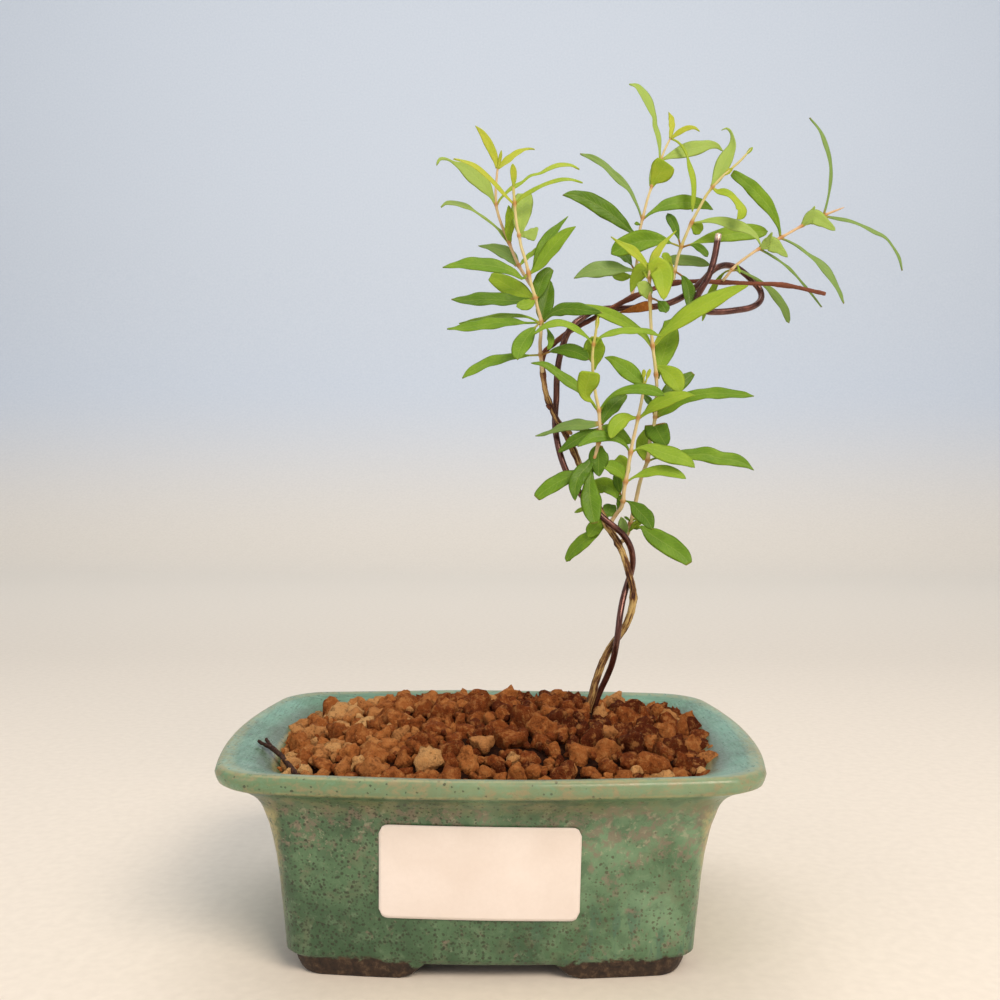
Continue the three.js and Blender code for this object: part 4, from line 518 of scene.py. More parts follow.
# Large lumps that stand out: x, y, radius, shade and lift; the back right ones are lighter as
# painted highlight.
LARGE_GRANULES = rows("""
4.5 26 5 0.55 2.4, -5 27 3.9 0.35 1.4, 38 28 4.1 0.78 1.4, -33 24 3.6 0.6 0.4,
-15.5 -30 4.9 0.9 0.6, 6.5 -35 4.1 0.55 0.6, -2.5 -22 4.6 0.72 0.8, -46 -22 3.9 0.7 0.4,
8 -6 5.2 0.2 0.9, -22 -8 4.4 0.36 0.6, -6 -31 4.2 0.6 0.4, 36 -28 3.9 0.2 0.4, 50 -26 3.6 0.18 0.4,
55.5 -8 4 0.5 0.8, -33 -6 4.2 0.46 0.6, 22 8 4.2 0.26 0.8, 30 -32 3.3 0.34 0.3, 53 14 4.1 0.76 0.8
""")
# A lump of radius 1: how far its balls' middles scatter and at most lie off, the balls' sizes, how
# many flats it has, how far out they lie and how much of what stands over them they press in, the
# stretch along its three axes, and the height and scale of its roughness.
BALL_SCATTER, BALL_OFFSET, BALL_SIZES = 0.26, 0.38, (0.6, 0.86)
FLATS, FLAT_PLACES, FLATTENING = 10, (0.45, 0.82), 0.92
LUMP_STRETCH = ((0.95, 1.32), (0.85, 1.15), (0.72, 0.98))
LUMP_ROUGHNESS = ((0.24, 2.1), (0.2, 4.4), (0.15, 9.3))
# Smallest and largest radius, number of tries, and how close to its neighbours a lump may lie.
GRANULE_SIZES = ((4.2, 5.3, 360, 0.72), (3.3, 4.0, 2200, 0.72), (2.5, 3.3, 3000, 0.72),
                 (2.2, 3.0, 2500, 0.62), (1.5, 2.2, 3500, 0.58), (1.1, 1.5, 1500, 0.56))


# ------------------------------------------------------------------ meshes
def add_object(name, data):
    thing = bpy.data.objects.new(name, data)
    bpy.context.scene.collection.objects.link(thing)
    return thing


def add_mesh(name, points, faces, node=None, material=None, attributes=(), slot=None):
    """Makes a mesh object from points in millimetres round the pot's middle."""
    mesh = bpy.data.meshes.new(name)
    place = (np.asarray(points) * MM) + np.array([POT_X, 0, 0])
    mesh.from_pydata(place.tolist(), [], [tuple(int(i) for i in face) for face in faces])
    mesh.validate()
    for key, values in dict(attributes).items():
        layer = mesh.attributes.new(key, "FLOAT", "POINT")
        layer.data.foreach_set("value", np.asarray(values, dtype=np.float32))
    mesh.polygons.foreach_set("use_smooth", [True] * len(mesh.polygons))
    thing = add_object(name, mesh)
    mesh.materials.append(material)
    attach(thing, "root")
    if node:
        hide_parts(*([node] if isinstance(node, str) else node))
    return thing


class Heap:
    """Gathers several skins into one mesh."""

    def __init__(self):
        self.points, self.faces, self.attributes = [], [], {}

    def add(self, points, faces, **attributes):
        start = sum(len(p) for p in self.points)
        self.points.append(np.asarray(points, float))
        self.faces += [[i + start for i in face] for face in faces]
        for key, values in attributes.items():
            self.attributes.setdefault(key, []).append(np.broadcast_to(values, len(points)))

    def build(self, name, **options):
        merged = {key: np.concatenate(values) for key, values in self.attributes.items()}
        return add_mesh(name, np.vstack(self.points), self.faces, attributes=merged, **options)


def ring_faces(rings, count):
    """Quads between rings of count points, with a fan at each end."""
    faces = []
    for r in range(rings - 1):
        for i in range(count):
            j = (i + 1) % count
            faces.append((r * count + i, r * count + j, (r + 1) * count + j, (r + 1) * count + i))
    faces.append(tuple(range(count - 1, -1, -1)))
    faces.append(tuple(range((rings - 1) * count, rings * count)))
    return faces


def sweep(curve, radius_at, sides, spacing, rough, seed, cap, ridges=0.0, length=0):
    """A tube along a curve, roughened by noise and, with ridges, grooved along its length.

    Returns its points and faces, how far along each point lies, and the attributes that place
    the point in the grain: on a circle round the tube, and by its run in millimetres.
    """
    ts = curve.even(spacing)
    side = np.array([0.0, -1.0, 0.0])
    points, along, around = [], [], []
    for k, t in enumerate(ts):
        centre, tangent = curve.get(t), curve.tangent(t)
        side = unit(side - tangent * side.dot(tangent))
        across = np.cross(tangent, side)
        radius = radius_at(t)
        if k in (0, len(ts) - 1):
            radius -= cap
        for i in range(sides):
            angle = 2 * math.pi * i / sides
            way = side * math.cos(angle) + across * math.sin(angle)
            spot = Vector(centre * 0.9 + way * 1.3 + seed)
            bump = rough * (noise.noise(spot) + 0.5 * noise.noise(spot * 2.7))
            if ridges:
                turned = Vector((2 * math.cos(angle), 2 * math.sin(angle), k * spacing * 0.12))
                bump += ridges * noise.noise(turned * 1.3)
            points.append(centre + way * (radius + bump))
            along.append(t)
            around.append(i / sides)
    angle = np.array(around) * 2 * math.pi
    along = np.array(along)
    grain = dict(ring_x=np.cos(angle), ring_y=np.sin(angle),
                 run=along * (length or curve.length()))
    return points, ring_faces(len(ts), sides), along, grain


def table_radius(table):
    """A function for the radius at t, from the fourth number of a table's rows."""
    radii = [row[3] for row in table]
    stops = np.linspace(0, 1, len(radii))
    return lambda t: np.interp(t, stops, radii)


# ------------------------------------------------------------------ material helpers
def linear(c):
    c /= 255
    return c / 12.92 if c <= 0.04045 else ((c + 0.055) / 1.055) ** 2.4


def srgb(*color):
    """A shader's colour from red, green and blue of 0 to 255."""
    return (*map(linear, color), 1)


class Value:
    """An output of a node, with which sums and products can be written."""

    def __init__(self, nodes, socket):
        self.nodes, self.socket = nodes, socket

    def __add__(self, other):
        return self.nodes.math("ADD", self, other)

    def __sub__(self, other):
        return self.nodes.math("SUBTRACT", self, other)

    def __rsub__(self, other):
        return self.nodes.math("SUBTRACT", other, self)

    def __mul__(self, other):
        return self.nodes.math("MULTIPLY", self, other)

    def __abs__(self):
        return self.nodes.math("ABSOLUTE", self)


class Nodes:
    """A short way to write a material's node tree."""

    def __init__(self, name):
        self.material = bpy.data.materials.new(name)
        self.material.use_nodes = True
        self.tree = self.material.node_tree
        self.tree.nodes.clear()
        out = self.tree.nodes.new("ShaderNodeOutputMaterial")
        self.shader = self.tree.nodes.new("ShaderNodeBsdfPrincipled")
        self.tree.links.new(self.shader.outputs["BSDF"], out.inputs["Surface"])

    def feed(self, node, inputs):
        for key, value in inputs.items():
            if isinstance(value, Value):
                self.tree.links.new(value.socket, node.inputs[key])
            else:
                node.inputs[key].default_value = value

    def add(self, kind, output, inputs, **settings):
        """Adds a node, sets and feeds it, and returns one of its outputs."""
        node = self.tree.nodes.new("ShaderNode" + kind)
        for key, value in settings.items():
            setattr(node, key, value)
        self.feed(node, inputs)
        return Value(self, node.outputs[output])

    def place(self):
        return self.add("TexCoord", "Object", {})

    def axis(self, vector, name):
        return self.add("SeparateXYZ", name, {0: vector})

    def stretch(self, vector, scale):
        return self.add("Mapping", 0, {"Vector": vector, "Scale": scale})

    def attribute(self, name):
        return self.add("Attribute", "Fac", {}, attribute_name=name)

    def grain_place(self, along):
        """A place on a tube: round its ring, and along its run with the given stretch."""
        return self.add("CombineXYZ", 0, {0: self.attribute("ring_x"), 1: self.attribute("ring_y"),
                                          2: self.attribute("run") * along})

    def noise(self, vector, scale, detail=3.0, roughness=0.55, distortion=0.0):
        return self.add("TexNoise", "Fac", {"Vector": vector, "Scale": scale, "Detail": detail,
                                            "Roughness": roughness, "Distortion": distortion})

    def shaken(self, vector, scale, amount):
        """The place pushed about by noise, so that round shapes turn ragged."""
        push = self.add("TexNoise", "Color", {"Vector": vector, "Scale": scale})
        return self.add("VectorMath", 0, {0: push, 1: (amount,) * 3, 2: vector},
                        operation="MULTIPLY_ADD")

    def dots(self, vector, scale, size, share):
        """Round dots in a random share of the cells."""
        distance = self.add("TexVoronoi", "Distance", {"Vector": vector, "Scale": scale})
        color = Value(self, distance.socket.node.outputs["Color"])
        picked = self.math("LESS_THAN", self.axis(color, "X"), share)
        return self.span(distance, size, size * 0.72) * picked

    def math(self, operation, *values):
        return self.add("Math", 0, dict(enumerate(values)), operation=operation)

    def span(self, value, low, high, out_low=0.0, out_high=1.0):
        """Maps low..high to out_low..out_high, smoothly and clamped."""
        return self.add("MapRange", 0, {"Value": value, "From Min": low, "From Max": high,
                                        "To Min": out_low, "To Max": out_high},
                        interpolation_type="SMOOTHSTEP")

    def mix(self, factor, a, b):
        return self.add("Mix", 2, {0: factor, 6: a, 7: b}, data_type="RGBA")

    def tint(self, color, *coats):
        """Lays coats over a colour one by one; a coat is its factor and red, green and blue."""
        for factor, *coat in coats:
            color = self.mix(factor, color, srgb(*coat))
        return color

    def ramp(self, factor, *stops):
        """A colour ramp; a stop is its position and red, green and blue."""
        color = self.add("ValToRGB", "Color", {0: factor})
        elements = color.socket.node.color_ramp.elements
        while len(elements) < len(stops):
            elements.new(0.5)
        for element, (position, *stop) in zip(elements, stops):
            element.position = position
            element.color = srgb(*stop)
        return color

    def bump(self, height, distance, strength=1.0):
        return self.add("Bump", 0, {"Height": height, "Distance": distance,
                                    "Strength": strength})

    def finish(self, color, roughness, **others):
        self.feed(self.shader, {"Base Color": color, "Roughness": roughness})
        self.feed(self.shader, {key.replace("_", " "): value for key, value in others.items()})
        return self.material


# ------------------------------------------------------------------ materials
def leaf_material():
    n = Nodes("leaf_green")
    tone, along, across, grey, pale, under, reach = (
        n.attribute(name) for name in ("tone", "along", "across", "grey", "pale", "under", "reach"))
    place = n.place()
    patch, fine = n.noise(place, 170), n.noise(place, 1900)
    shift = n.span(patch, 0.3, 0.7, -0.07, 0.07) + n.span(fine, 0.3, 0.7, -0.03, 0.03)
    color = n.ramp(tone + shift, (0, 176, 185, 58), (0.22, 150, 176, 46), (0.42, 130, 163, 42),
                   (0.66, 100, 138, 30), (1, 68, 104, 16))
    side = abs(across)
    slant = along * 13 - side * 2.4 + n.span(patch, 0, 1, -0.3, 0.3)
    stripe = abs(n.math("FRACT", slant) - 0.5)
    veins = n.span(stripe, 0, 0.16, 1, 0) * n.span(side, 0.95, 0.6)
    midrib = n.span(abs(reach), 0.02, 0.16, 1, 0)
    # the grey tint is a painted sheen on dark leaves
    color = n.tint(color, (grey, 124, 153, 84), (pale, 156, 182, 92), (under * 0.3, 150, 174, 92),
                   (veins * 0.05, 196, 210, 120), (midrib * 0.15, 190, 204, 104))
    stalk = n.mix(n.span(tone, 0.5, 0.85), srgb(172, 176, 74), srgb(168, 116, 62))
    color = n.mix(n.span(along, 0, 0.07, 0.8, 0), color, stalk)
    tip = n.span(along, 0.97, 1) * n.span(tone, 0.5, 0.8)
    color = n.tint(color, (tip * 0.6, 140, 104, 50))
    height = veins * -0.5 + fine * 0.4 + patch * 1.4
    roughness = n.span(fine, 0.3, 0.7, 0.46, 0.6) - n.span(tone, 0.55, 0.8, 0, 0.12)
    return n.finish(color, roughness, Normal=n.bump(height, 0.00012, 0.7), Subsurface_Weight=0.12,
                    Subsurface_Radius=(0.9, 1, 0.2), Subsurface_Scale=0.0008,
                    Specular_IOR_Level=0.22)


def stem_material():
    """Young bark: hue runs from pinkish brown through cream to yellow-green."""
    n = Nodes("young_stem")
    streak = n.noise(n.grain_place(0.09), 2.4, 4, 0.6)
    patch = n.noise(n.place(), 130, 3, 0.6)
    hue = n.attribute("hue") + n.span(patch, 0.3, 0.7, -0.14, 0.14)
    color = n.ramp(hue, (0, 204, 160, 122), (0.35, 212, 184, 138), (0.65, 214, 202, 142),
                   (1, 184, 180, 84))
    color = n.tint(color, (n.span(streak, 0.5, 0.7, 0, 0.4), 238, 222, 182),
                   (n.span(streak, 0.5, 0.34, 0, 0.32), 172, 120, 76),
                   (n.attribute("knot") * 0.85, 178, 120, 56))
    return n.finish(color, n.span(streak, 0.2, 0.8, 0.5, 0.7), Specular_IOR_Level=0.3,
                    Normal=n.bump(streak, 0.0001, 0.7))


def bark_material():
    """Dark red-brown bark with long tan fibres, plainer and redder along the leader."""
    n = Nodes("bark")
    place, age = n.place(), n.attribute("age")
    fibre = n.noise(n.grain_place(0.07), 1.9, 5, 0.62, 0.3)
    thread = n.noise(n.grain_place(0.16), 5.5, 3, 0.6)
    blotch, fine = n.noise(place, 120, 4, 0.6), n.noise(place, 2000, 4, 0.6)
    lean = fibre + n.span(blotch, 0.35, 0.65, -0.09, 0.09)
    color = n.ramp(lean, (0.34, 56, 29, 21), (0.43, 102, 64, 38), (0.5, 156, 120, 70),
                   (0.59, 202, 172, 108), (0.8, 206, 180, 122))
    leader = n.ramp(lean, (0.3, 54, 24, 17), (0.5, 100, 52, 34), (0.68, 146, 90, 60),
                    (0.8, 180, 130, 92))
    color = n.tint(n.mix(n.span(age, 0.58, 0.7), color, leader),
                   (n.span(age, 0.8, 0.92, 0, 0.5), 150, 90, 66),
                   (n.span(age, 0.1, 0.02, 0, 0.5), 162, 116, 58),
                   (n.span(thread, 0.56, 0.68, 0, 0.4), 44, 22, 16),
                   (n.attribute("cut"), 204, 152, 94))
    height = fibre * 1.2 + thread * 0.5 + fine * 0.2
    return n.finish(color, n.span(fine, 0.2, 0.8, 0.55, 0.8), Specular_IOR_Level=0.3,
                    Normal=n.bump(height, 0.0004, 0.9))


def wire_material():
    n = Nodes("anodised_wire")
    # pale streaks along the wire: scratches, and painted highlight streaks
    scratches_and_glints = n.noise(n.grain_place(0.1), 3, 4, 0.6)
    smudge = n.noise(n.place(), 200, 4, 0.6)
    # the darker and lighter ramps below are painted shade low on the wire by the trunk and painted
    # light on the loop
    shaded_wire = n.ramp(smudge, (0.3, 58, 27, 20), (0.55, 84, 42, 32), (0.8, 120, 68, 54))
    lit_wire = n.ramp(smudge, (0.3, 58, 27, 21), (0.55, 86, 44, 34), (0.8, 128, 76, 62))
    color = n.tint(n.mix(n.span(n.attribute("along"), 0.55, 0.72), shaded_wire, lit_wire),
                   (n.span(scratches_and_glints, 0.52, 0.68, 0, 0.4), 190, 136, 118),
                   (n.attribute("cut"), 230, 204, 188))
    roughness = n.span(smudge + scratches_and_glints * 0.4, 0.5, 0.9, 0.24, 0.4)
    return n.finish(color, roughness, Normal=n.bump(scratches_and_glints, 0.00006, 0.6), Metallic=0.6,
                    Specular_IOR_Level=0.8, Coat_Weight=0.2, Coat_Roughness=0.25)


def pot_material():
    n = Nodes("green_glaze")
    place = n.place()
    x, y, z = (n.axis(place, key) for key in "XYZ")
    x = x - POT_X
    top, edge = n.attribute("top"), n.attribute("glaze_edge")
    cloud = n.noise(place, 46, 4)
    mottle = n.noise(place, 230, 5, 0.65, 0.4)
    crumb = n.noise(place, 480, 5, 0.7, 0.3)
    flake = n.noise(place, 300, 6, 0.72, 0.3)
    murk = n.noise(place, 150, 4, 0.6, 0.6)

    # the body, lighter to the right as painted light from the right, and darker low at the left
    drift_and_light = cloud + x * 2 + n.span(z, 0.024, 0, 0, -0.09)
    body = n.ramp(drift_and_light, (0.3, 58, 88, 59), (0.5, 82, 114, 80), (0.7, 112, 145, 110))
    color = n.tint(body, (n.span(mottle, 0.5, 0.66, 0, 0.26), 132, 156, 122),
                   (n.span(mottle, 0.5, 0.36, 0, 0.4), 54, 80, 54),
                   (n.span(crumb, 0.56, 0.72, 0, 0.2), 160, 174, 144),
                   (n.span(murk, 0.54, 0.68, 0, 0.35), 104, 106, 80))

    # darker teal runs near the base at the right
    runs = n.noise(n.stretch(place, (1, 1, 0.22)), 260, 3, 0.6)
    teal = n.span(runs, 0.5, 0.58) * n.span(z, 0.024, 0.012) * n.span(x, -0.005, 0.03)
    color = n.tint(color, (teal * 0.5, 62, 98, 84))

    # crumbly brown-pink and beige flakes, most of them in a band under the lip, and ochre there
    band = n.span(z, 0.024, 0.038) * n.span(z, 0.048, 0.0445) * 0.1
    band = band + n.span(cloud, 0.3, 0.7, -0.02, 0.02) + x * 0.35
    wall = n.span(z, 0.0488, 0.0478) * (1 - top)
    brown = n.span(flake + band, 0.57, 0.7) * wall
    beige = n.span(crumb + band, 0.66, 0.74) * wall
    ochre = n.span(z, 0.0415, 0.0465) * wall * n.span(mottle, 0.4, 0.6, 0.1, 0.5)
    color = n.tint(color, (brown * 0.68, 132, 112, 98), (beige * 0.36, 176, 168, 142),
                   (ochre, 134, 122, 82))

    # the lip's face is paler and, as painted light, lighter to the right; its dished top teal with
    # fine strokes of the brush
    face = n.span(z, 0.0498, 0.0506) * (1 - top)
    lip_lit_right = n.mix(n.span(x, -0.06, 0), srgb(108, 146, 106), srgb(130, 154, 116))
    streaks = n.noise(n.stretch(place, (0.7, 0.7, 1)), 420, 6, 0.72, 0.3)
    color = n.tint(n.mix(face * 0.65, color, lip_lit_right),
                   (n.span(streaks, 0.46, 0.64, 0.1, 0.7) * face, 154, 136, 100),
                   (n.span(streaks, 0.46, 0.34, 0, 0.45) * face, 112, 152, 122))
    strokes_x, strokes_y = (n.noise(n.stretch(place, scale), 1500, 4, 0.65)
                            for scale in ((0.12, 1, 1), (1, 0.12, 1)))
    strokes = n.mix(n.span(abs(x) - abs(y), 0.012, 0.02), strokes_x, strokes_y)
    # the dished top is lighter to the right as painted light
    dish_lit_right = n.ramp(cloud + x * 0.6, (0.35, 81, 115, 91), (0.5, 95, 137, 111),
                  (0.65, 112, 160, 136))
    dish_lit_right = n.tint(dish_lit_right, (n.span(strokes, 0.52, 0.66, 0, 0.45), 138, 172, 150),
                  (n.span(strokes, 0.48, 0.36, 0, 0.5), 58, 86, 64),
                  (n.span(z, 0.0532, 0.0518, 0, 0.55), 74, 72, 48),
                  (n.span(y, 0.04, 0.05, 0, 0.3), 88, 112, 84))
    color = n.mix(top, color, dish_lit_right)

    # round iron specks, denser low on the walls and at the left, their colour lighter to the right
    # as painted light
    dense = n.span(z, 0.046, 0.01, 0.2, 0.5) + n.span(x, 0.04, -0.05, -0.17, 0.14)
    dense = dense + n.span(cloud, 0.35, 0.65, 0.1, -0.12)
    dense = dense * (1 - face * 0.8) * (1 - top * 0.7)
    ragged_place = n.shaken(place, 1500, 0.0005)
    iron_lit_right = n.mix(n.span(x, -0.01, 0.04), srgb(40, 44, 28), srgb(74, 70, 50))
    small = n.dots(ragged_place, 1100, 0.37, dense * 1.9)
    large = n.dots(ragged_place, 680, 0.33, dense * 1.3)
    color = n.mix(large * 0.72, n.mix(small * 0.6, color, iron_lit_right), iron_lit_right)

    # ochre and cream where the glaze breaks: the lip's edges and the corners
    lower_lip = n.span(z, 0.0492, 0.0499) * n.span(z, 0.0508, 0.0502)
    crest = n.span(z, 0.0538, 0.0543) * 0.5
    corner = n.span(abs(x), 0.0515, 0.0548) * n.span(abs(y), 0.0365, 0.0405)
    corner = corner * n.span(z, 0.046, 0.042)
    breaking = n.math("MAXIMUM", lower_lip * 0.55, n.math("MAXIMUM", corner, crest))
    color = n.tint(color, (breaking * n.span(crumb, 0.38, 0.56, 0.15, 0.7), 190, 174, 118))

    # bare clay on the feet and underneath, fading softly into the glaze
    bare = n.span(edge + n.span(mottle, 0.3, 0.7, -0.9, 0.9), 0.9, -0.3)
    clay = n.ramp(crumb, (0.34, 34, 24, 17), (0.52, 58, 42, 30), (0.68, 96, 76, 56))
    roughness = n.mix(bare, n.span(crumb, 0.3, 0.7, 0.26, 0.42), (0.85, 0.85, 0.85, 1))
    height = mottle + crumb * 0.4 - small * 0.15
    return n.finish(n.mix(bare, color, clay), roughness, Normal=n.bump(height, 0.0003, 0.6),
                    Coat_Weight=0.12, Coat_Roughness=0.15, Specular_IOR_Level=0.42)


def granule_material():
    n = Nodes("baked_clay")
    place = n.place()
    fine, coarse = n.noise(place, 1700, 5, 0.7), n.noise(place, 430, 5, 0.65)
    color = n.ramp(n.attribute("shade"), (0, 90, 39, 18), (0.3, 138, 71, 32),
                   (0.6, 186, 115, 60), (1, 230, 180, 118))
    color = n.tint(color, (n.span(coarse, 0.5, 0.64, 0, 0.48), 212, 148, 86),
                   (n.span(coarse, 0.48, 0.34, 0, 0.55), 66, 26, 12),
                   (n.span(fine, 0.57, 0.7, 0, 0.4), 232, 180, 118),
                   (n.span(fine, 0.45, 0.32, 0, 0.5), 46, 18, 9))
    return n.finish(color, 0.95, Normal=n.bump(fine + coarse * 1.4, 0.0011),
                    Specular_IOR_Level=0.08)


# The fine soil between the lumps: its near-black colour is painted shade in the gaps.
def shaded_soil_material():
    n = Nodes("shaded_soil_bed")
    fine = n.noise(n.place(), 900, 5, 0.65)
    color = n.ramp(fine, (0.3, 20, 9, 5), (0.6, 52, 26, 14), (0.8, 90, 52, 28))
    return n.finish(color, 0.95, Normal=n.bump(fine, 0.0012), Specular_IOR_Level=0.1)


def paper_material():
    n = Nodes("label_paper")
    place = n.place()
    fibre = n.noise(place, 900, 4, 0.6)
    tint = n.noise(place, 60, 2, 0.5)
    color = n.ramp(tint, (0.3, 234, 222, 212), (0.7, 244, 234, 226))
    color = n.tint(color, (n.span(fibre, 0.3, 0.7, 0, 0.08), 206, 192, 178))
    return n.finish(color, n.span(fibre, 0.3, 0.7, 0.42, 0.5), Normal=n.bump(fibre, 0.00004, 0.4))


def dry_material(name, dark, middle, pale, stripes=0):
    n = Nodes(name)
    grain = n.noise(n.stretch(n.place(), (1, 1, 0.5)), 1300, 4, 0.65, 0.4)
    if stripes:
        ridge = abs(n.math("FRACT", n.attribute("across") * stripes) - 0.5)
        grain = grain * 0.6 + ridge * 0.9
    color = n.ramp(grain, (0.3, *dark), (0.55, *middle), (0.8, *pale))
    return n.finish(color, 0.8, Normal=n.bump(grain, 0.0004, 0.9), Specular_IOR_Level=0.2)


def screen_material():
    n = Nodes("mesh_plastic")
    fine = n.noise(n.place(), 1500, 3, 0.6)
    color = n.ramp(fine, (0.3, 30, 32, 31), (0.7, 52, 55, 53))
    return n.finish(color, n.span(fine, 0.3, 0.7, 0.45, 0.65), Normal=n.bump(fine, 0.0001, 0.5))


LEAF = leaf_material()
STEM = stem_material()
BARK = bark_material()
WIRE_METAL = wire_material()
GLAZE = pot_material()
GRANULE = granule_material()
SHADED_SOIL = shaded_soil_material()
PAPER = paper_material()
DEAD_TWIG = dry_material("dead_twig", (30, 18, 14), (66, 42, 32), (120, 90, 72))
DEAD_LEAF = dry_material("dead_leaf", (128, 66, 20), (172, 100, 36), (206, 144, 72), stripes=4)
SCREEN = screen_material()


# ------------------------------------------------------------------ pot
def pot_ring(level, per_side=26, per_corner=8):
    """Points round the pot at one level, from the middle of the right side, counter-clockwise."""
    z, width, depth, rimness = level
    corner, side_bow, front_bow = (at_wall + (at_rim - at_wall) * rimness
                                   for at_wall, at_rim in (POT_CORNER, SIDE_BOW, FRONT_BOW))
    corner = min(corner, 0.98 * min(width, depth))
    flat_x, flat_y = width - corner, depth - corner
    signs = [(1, 1), (-1, 1), (-1, -1), (1, -1)]

    def on_corner(c, angle):
        sx, sy = signs[c % 4]
        return sx * flat_x + corner * math.cos(angle), sy * flat_y + corner * math.sin(angle)

    plan = []
    for c in range(4):
        plan += [on_corner(c, math.pi / 2 * (c + i / per_corner)) for i in range(per_corner + 1)]
        start, end = plan[-1], on_corner(c + 1, math.pi / 2 * (c + 1))
        for i in range(1, per_side):
            t = i / per_side
            plan.append((start[0] + (end[0] - start[0]) * t, start[1] + (end[1] - start[1]) * t))
    return [(x * (1 - side_bow * (y / depth) ** 2 / width),
             y * (1 - front_bow * (x / width) ** 2 / depth), z) for x, y in plan]


def smooth_step(value, low, high):
    t = min(max((value - low) / (high - low), 0), 1)
    return t * t * (3 - 2 * t)


def arch(x, y):
    """Height of the gap under the pot between its feet."""
    return ARCH_HEIGHT * max(1 - smooth_step(abs(x), *ARCH_FRONT),
                             1 - smooth_step(abs(y), *ARCH_SIDE))


def build_pot():
    rings = [pot_ring(level) for level in POT_OUTSIDE + POT_TOP + POT_INSIDE]
    # the floor inside and the underside, as shrinking copies of their outlines
    inner, foot = rings[-1], rings[0]
    rings += [[(x * reach, y * reach, z) for x, y, z in inner] for reach in (0.8, 0.55, 0.3, 0.1)]
    underside = [[(x * reach, y * reach, 0.0) for x, y, _ in foot]
                 for reach in np.linspace(0.985, 0.04, 34)]
    rings = underside[::-1] + rings
    under, outside = len(underside), len(underside) + len(POT_OUTSIDE)
    inner_lip = outside + len(POT_TOP) + 2
    points, top, glaze_edge = [], [], []
    for r, ring in enumerate(rings):
        for x, y, z in ring:
            lift = arch(x, y)
            top.append(1.0 if outside <= r < inner_lip else 0.0)
            if r < under:
                glaze_edge.append(BARE)
            elif r < outside:
                glaze_edge.append(z - 4.9 + 6 * lift / ARCH_HEIGHT)
            else:
                glaze_edge.append(COVERED)
            if r < outside and z < FOOT_TOP:
                z = lift + z * (FOOT_TOP - lift) / FOOT_TOP
            # hand-made unevenness: above the feet the walls swell, and the rim rises and falls
            spot = Vector((x * 0.035, y * 0.035, z * 0.05))
            way = Vector((x / 72, y / 56, 0))
            swell = 0.22 * noise.noise(spot) + 0.05 * noise.noise(spot * 5) if z > 6 else 0.0
            rise = 0.25 * noise.noise(spot + Vector((7, 3, 1))) if z > 50 else 0
            points.append((x + way.x * swell, y + way.y * swell, z + rise))
    pot = add_mesh("glazed_pot", points, ring_faces(len(rings), len(foot)), "pot", GLAZE,
                   dict(top=top, glaze_edge=glaze_edge), slot="glaze")
    for x in DRAIN_HOLES:
        cut_hole(pot, x * MM)


def cut_hole(pot, x):
    bpy.ops.mesh.primitive_cylinder_add(vertices=40, radius=DRAIN_RADIUS * MM, depth=30 * MM,
                                        location=(POT_X + x, 0, 5 * MM))
    tool = bpy.context.object
    cut = pot.modifiers.new("hole", "BOOLEAN")
    cut.operation = "DIFFERENCE"
    cut.object = tool
    bpy.context.view_layer.objects.active = pot
    bpy.ops.object.modifier_apply(modifier=cut.name)
    bpy.data.objects.remove(tool)


# ------------------------------------------------------------------ soil
def soil_height(x, y):
    """Level of the heap: low along the walls, higher in the middle and towards the back."""
    side = HEAP_RIGHT if x > 0 else HEAP_LEFT
    rounded = (abs(x / (side + 3.5)) ** 3 + abs(y / (HEAP_DEPTH + 2.5)) ** 3) ** (1 / 3)
    reach = max(abs(x) / side, abs(y) / HEAP_DEPTH, rounded)
    return HEAP_EDGE + HEAP_HEIGHT * (1 - min(reach, 1) ** 2.2) + HEAP_RISE * y / RISE_RUN


def inside_soil(x, y, margin):
    """Whether a lump at (x, y) keeps its margin from the pot's bowed walls."""
    width, depth = (64.4 if x > 0 else 61.6) - margin, 46.2 - margin
    bowed_x = width - 5.5 * (y / 45) ** 2
    bowed_y = depth - 5.3 * (x / 60) ** 2
    return (abs(x) / bowed_x) ** 7 + (abs(y) / bowed_y) ** 7 < 1


def build_soil():
    rings = [pot_ring(level) for level in SOIL_LEVELS]
    edge = rings[-1]
    for reach in (0.97, 0.9, 0.8, 0.68, 0.54, 0.4, 0.26, 0.12, 0.02):
        inner = [(x * reach, y * reach) for x, y, _ in edge]
        rings.append([(x, y, soil_height(x, y) - BED_DEPTH
                       + 0.8 * noise.noise(Vector((x * 0.3, y * 0.3, 0)))) for x, y in inner])
    # the bed's dark colour is painted shade in the gaps between the lumps
    add_mesh("shaded_soil_bed", np.vstack(rings), ring_faces(len(rings), len(edge)), "substrate", SHADED_SOIL,
             slot="granules")


BALLS = {}


def ball(detail):
    """Points and faces of a round ball, made once for each level of detail."""
    if detail not in BALLS:
        mesh = bmesh.new()
        bmesh.ops.create_icosphere(mesh, subdivisions=detail, radius=1)
        points = np.array([v.co[:] for v in mesh.verts])
        BALLS[detail] = points, [[v.index for v in f.verts] for f in mesh.faces]
        mesh.free()
    return BALLS[detail]


